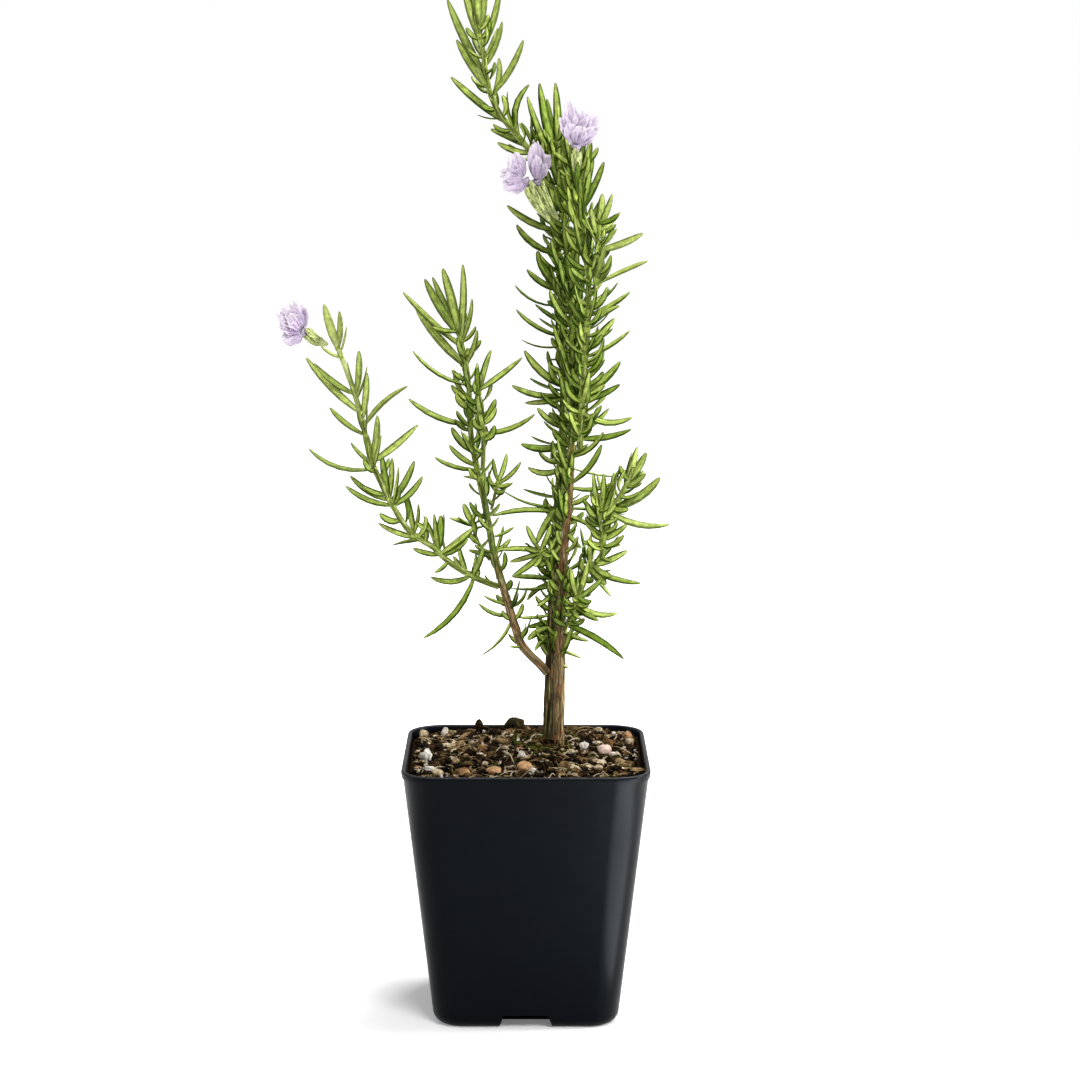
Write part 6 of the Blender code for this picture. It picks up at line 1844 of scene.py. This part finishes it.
FLOWERS = (
    Flower("far_left_flower", (-69.6, -19.6, 245.2), (-78.5, -20.2, 250.5), 2.1, 2.2, (
        Petal((0.2, 0.4, 0.4), (-4.0, 0.4, 9.6), 8.4, cup=1.2),
        Petal((-0.2, -0.2, 0.4), (-8.2, -0.8, 6.4), 7.6),
        Petal((-0.3, -0.8, 0.2), (-4.6, -2.4, 5.6), 5.4, cup=1.6),
        Petal((-0.3, -0.6, 0.0), (-8.0, -2.2, 1.6), 5.4),
        Petal((0.0, -0.4, -0.5), (-6.6, -2.0, -4.2), 7.4, cup=1.4)), (-1.0, -0.4, 0.3)),
    Flower("arch_flower_low", (8.6, 3.0, 287.4), (-0.6, -0.6, 302.4), 2.15, 2.4, (
        Petal((-0.8, 0.3, 0.8), (-4.4, -0.4, 9.4), 6.8, cup=1.4),
        Petal((-0.8, -0.5, 0.4), (-5.4, -1.8, 5.6), 4.8),
        Petal((-0.6, -0.4, 0.0), (-8.4, -1.6, 2.2), 6.4, cup=2.4),
        Petal((-0.4, -0.9, -0.4), (-7.6, -3.6, -2.8), 8.2, cup=2.6),
        Petal((0.0, -0.6, -0.8), (-3.4, -2.6, -4.8), 4.6, cup=1.6)), (-1.0, -0.5, 0.8)),
    Flower("arch_flower_high", (11.6, 5.6, 288.0), (3.8, 2.0, 302.6), 2.0, 2.4, (
        Petal((0.0, 0.2, 0.0), (-0.2, -0.4, 13.0), 6.4, cup=2.6),
        Petal((0.2, -0.9, -0.4), (0.2, -2.8, 8.4), 4.2, cup=1.6),
        Petal((0.6, 0.2, 0.4), (4.4, 0.0, 8.6), 5.0, cup=1.6),
        Petal((0.4, -0.6, 0.0), (3.6, -2.4, 5.2), 4.2)),
        (0.2, -0.4, 1.0)),
    Flower("crown_flower", (18.0, -9.6, 303.6), (17.6, -11.6, 315.0), 1.9, 2.6, (
        Petal((-0.4, 0.4, 0.6), (-3.0, 0.6, 15.0), 6.0, cup=1.8),
        Petal((-0.6, -0.2, 0.4), (-5.2, -0.6, 9.6), 5.2),
        Petal((-0.4, -0.6, 0.2), (-3.0, -2.4, 7.4), 5.6, cup=1.6),
        Petal((0.3, 0.0, 0.6), (3.0, -0.2, 11.6), 7.0, cup=1.4),
        Petal((0.5, -0.2, 0.4), (7.6, -0.8, 10.2), 7.4),
        Petal((0.5, -0.8, 0.0), (6.8, -3.0, 5.2), 6.0),
        Petal((0.2, -0.9, 0.0), (2.2, -3.4, 6.4), 6.0, cup=1.8)), (0.3, -0.5, 1.0)),
)


# ------------------------------------------------------------------ studio

@dataclass
class Studio:
    """White floor, soft light from the right front, a weaker one from the left, and the camera."""

    eye: Knot = (0.0, -1025.0, 327.7)
    pitch: float = 0.15
    lens: float = 95.43
    shift: float = 0.01306
    floor_half: float = 6000.0
    sky_level: float = 0.42

    def floor(self) -> None:
        """A wide level sheet under the pot."""
        half = self.floor_half * MM
        mesh = bpy.data.meshes.new("floor")
        corners = [(-half, -half, 0.0), (half, -half, 0.0), (half, half, 0.0), (-half, half, 0.0)]
        mesh.from_pydata(corners, [], [(0, 1, 2, 3)])
        mesh.materials.append(FLOOR.material())
        obj = bpy.data.objects.new("floor", mesh)
        bpy.context.scene.collection.objects.link(obj)

    def sky(self) -> None:
        """Clear white where the camera looks past the object, and a dimmer white that lights it."""
        world = bpy.data.worlds.new("studio")
        world.use_nodes = True
        tree = world.node_tree
        graph = Graph(tree)
        seen = graph.add("LightPath").outputs["Is Camera Ray"]
        level = graph.spread(seen, 0.0, 1.0, self.sky_level, 1.0)
        background = tree.nodes["Background"]
        background.inputs["Color"].default_value = (1.0, 1.0, 1.0, 1.0)
        tree.links.new(level, background.inputs["Strength"])
        bpy.context.scene.world = world

    def lamp(self, name: str, spot: Knot, target: Knot, size: tuple[float, float],
             power: float, gloss_only: bool = False) -> None:
        """An oblong soft light.

        Args:
            name: The lamp's name.
            spot: Where it hangs, in millimetres.
            target: What it is turned to.
            size: Its width and height.
            power: Watts.
            gloss_only: Whether it shows only as a reflection in glossy skins, like a bounce card.
        """
        light = bpy.data.lights.new(name, "AREA")
        light.shape = "RECTANGLE"
        light.size, light.size_y = (k * MM for k in size)
        light.energy = power
        obj = bpy.data.objects.new(name, light)
        obj.location = [k * MM for k in spot]
        direction = np.array(target) - np.array(spot)
        yaw = math.atan2(direction[0], -direction[1])
        fall = math.atan2(math.hypot(direction[0], direction[1]), -direction[2])
        obj.rotation_euler = (fall, 0.0, yaw + math.pi)
        if gloss_only:
            obj.visible_camera = obj.visible_diffuse = obj.visible_transmission = False
        bpy.context.scene.collection.objects.link(obj)

    def build(self) -> None:
        """Set the floor, the light and the camera."""
        self.floor()
        self.sky()
        self.lamp("right_box", (1000, 0, 260), (0, 0, 150), (160, 1000), 15.0)
        self.lamp("floor_card", (215, -130, 2), (215, -130, 200), (320, 180), 1.9, gloss_only=True)
        self.lamp("left_box", (-1000, -40, 260), (0, 0, 150), (140, 800), 3.6)
        self.lamp("front_box", (350, -900, 1000), (0, 0, 180), (500, 500), 12.0)
        self.lamp("top_box", (330, 480, 1250), (0, 0, 150), (600, 600), 15.0)
        camera = bpy.data.cameras.new("camera")
        camera.lens = self.lens
        camera.sensor_width = 36.0
        camera.shift_x = self.shift
        obj = bpy.data.objects.new("camera", camera)
        obj.location = [k * MM for k in self.eye]
        obj.rotation_euler = (math.pi / 2 - self.pitch, 0.0, 0.0)
        bpy.context.scene.collection.objects.link(obj)
        bpy.context.scene.camera = obj
        bpy.context.scene.view_settings.view_transform = "Standard"


def main() -> None:
    """Build the studio, the pot and the plant."""
    logging.basicConfig(level=logging.INFO, format="%(name)s: %(message)s")
    Studio().build()
    pot = Pot()
    pot.build()
    Bed(pot).build()
    courses = {name: Course.through(knots, (low, high))
               for name, (knots, low, high) in STEMS.items()}
    for name, course in courses.items():
        Stem(name, course, *WOODY.get(name, ())).build()
    Foliage(courses).build()
    for flower in FLOWERS:
        flower.build()


if __name__ == "__main__":
    main()
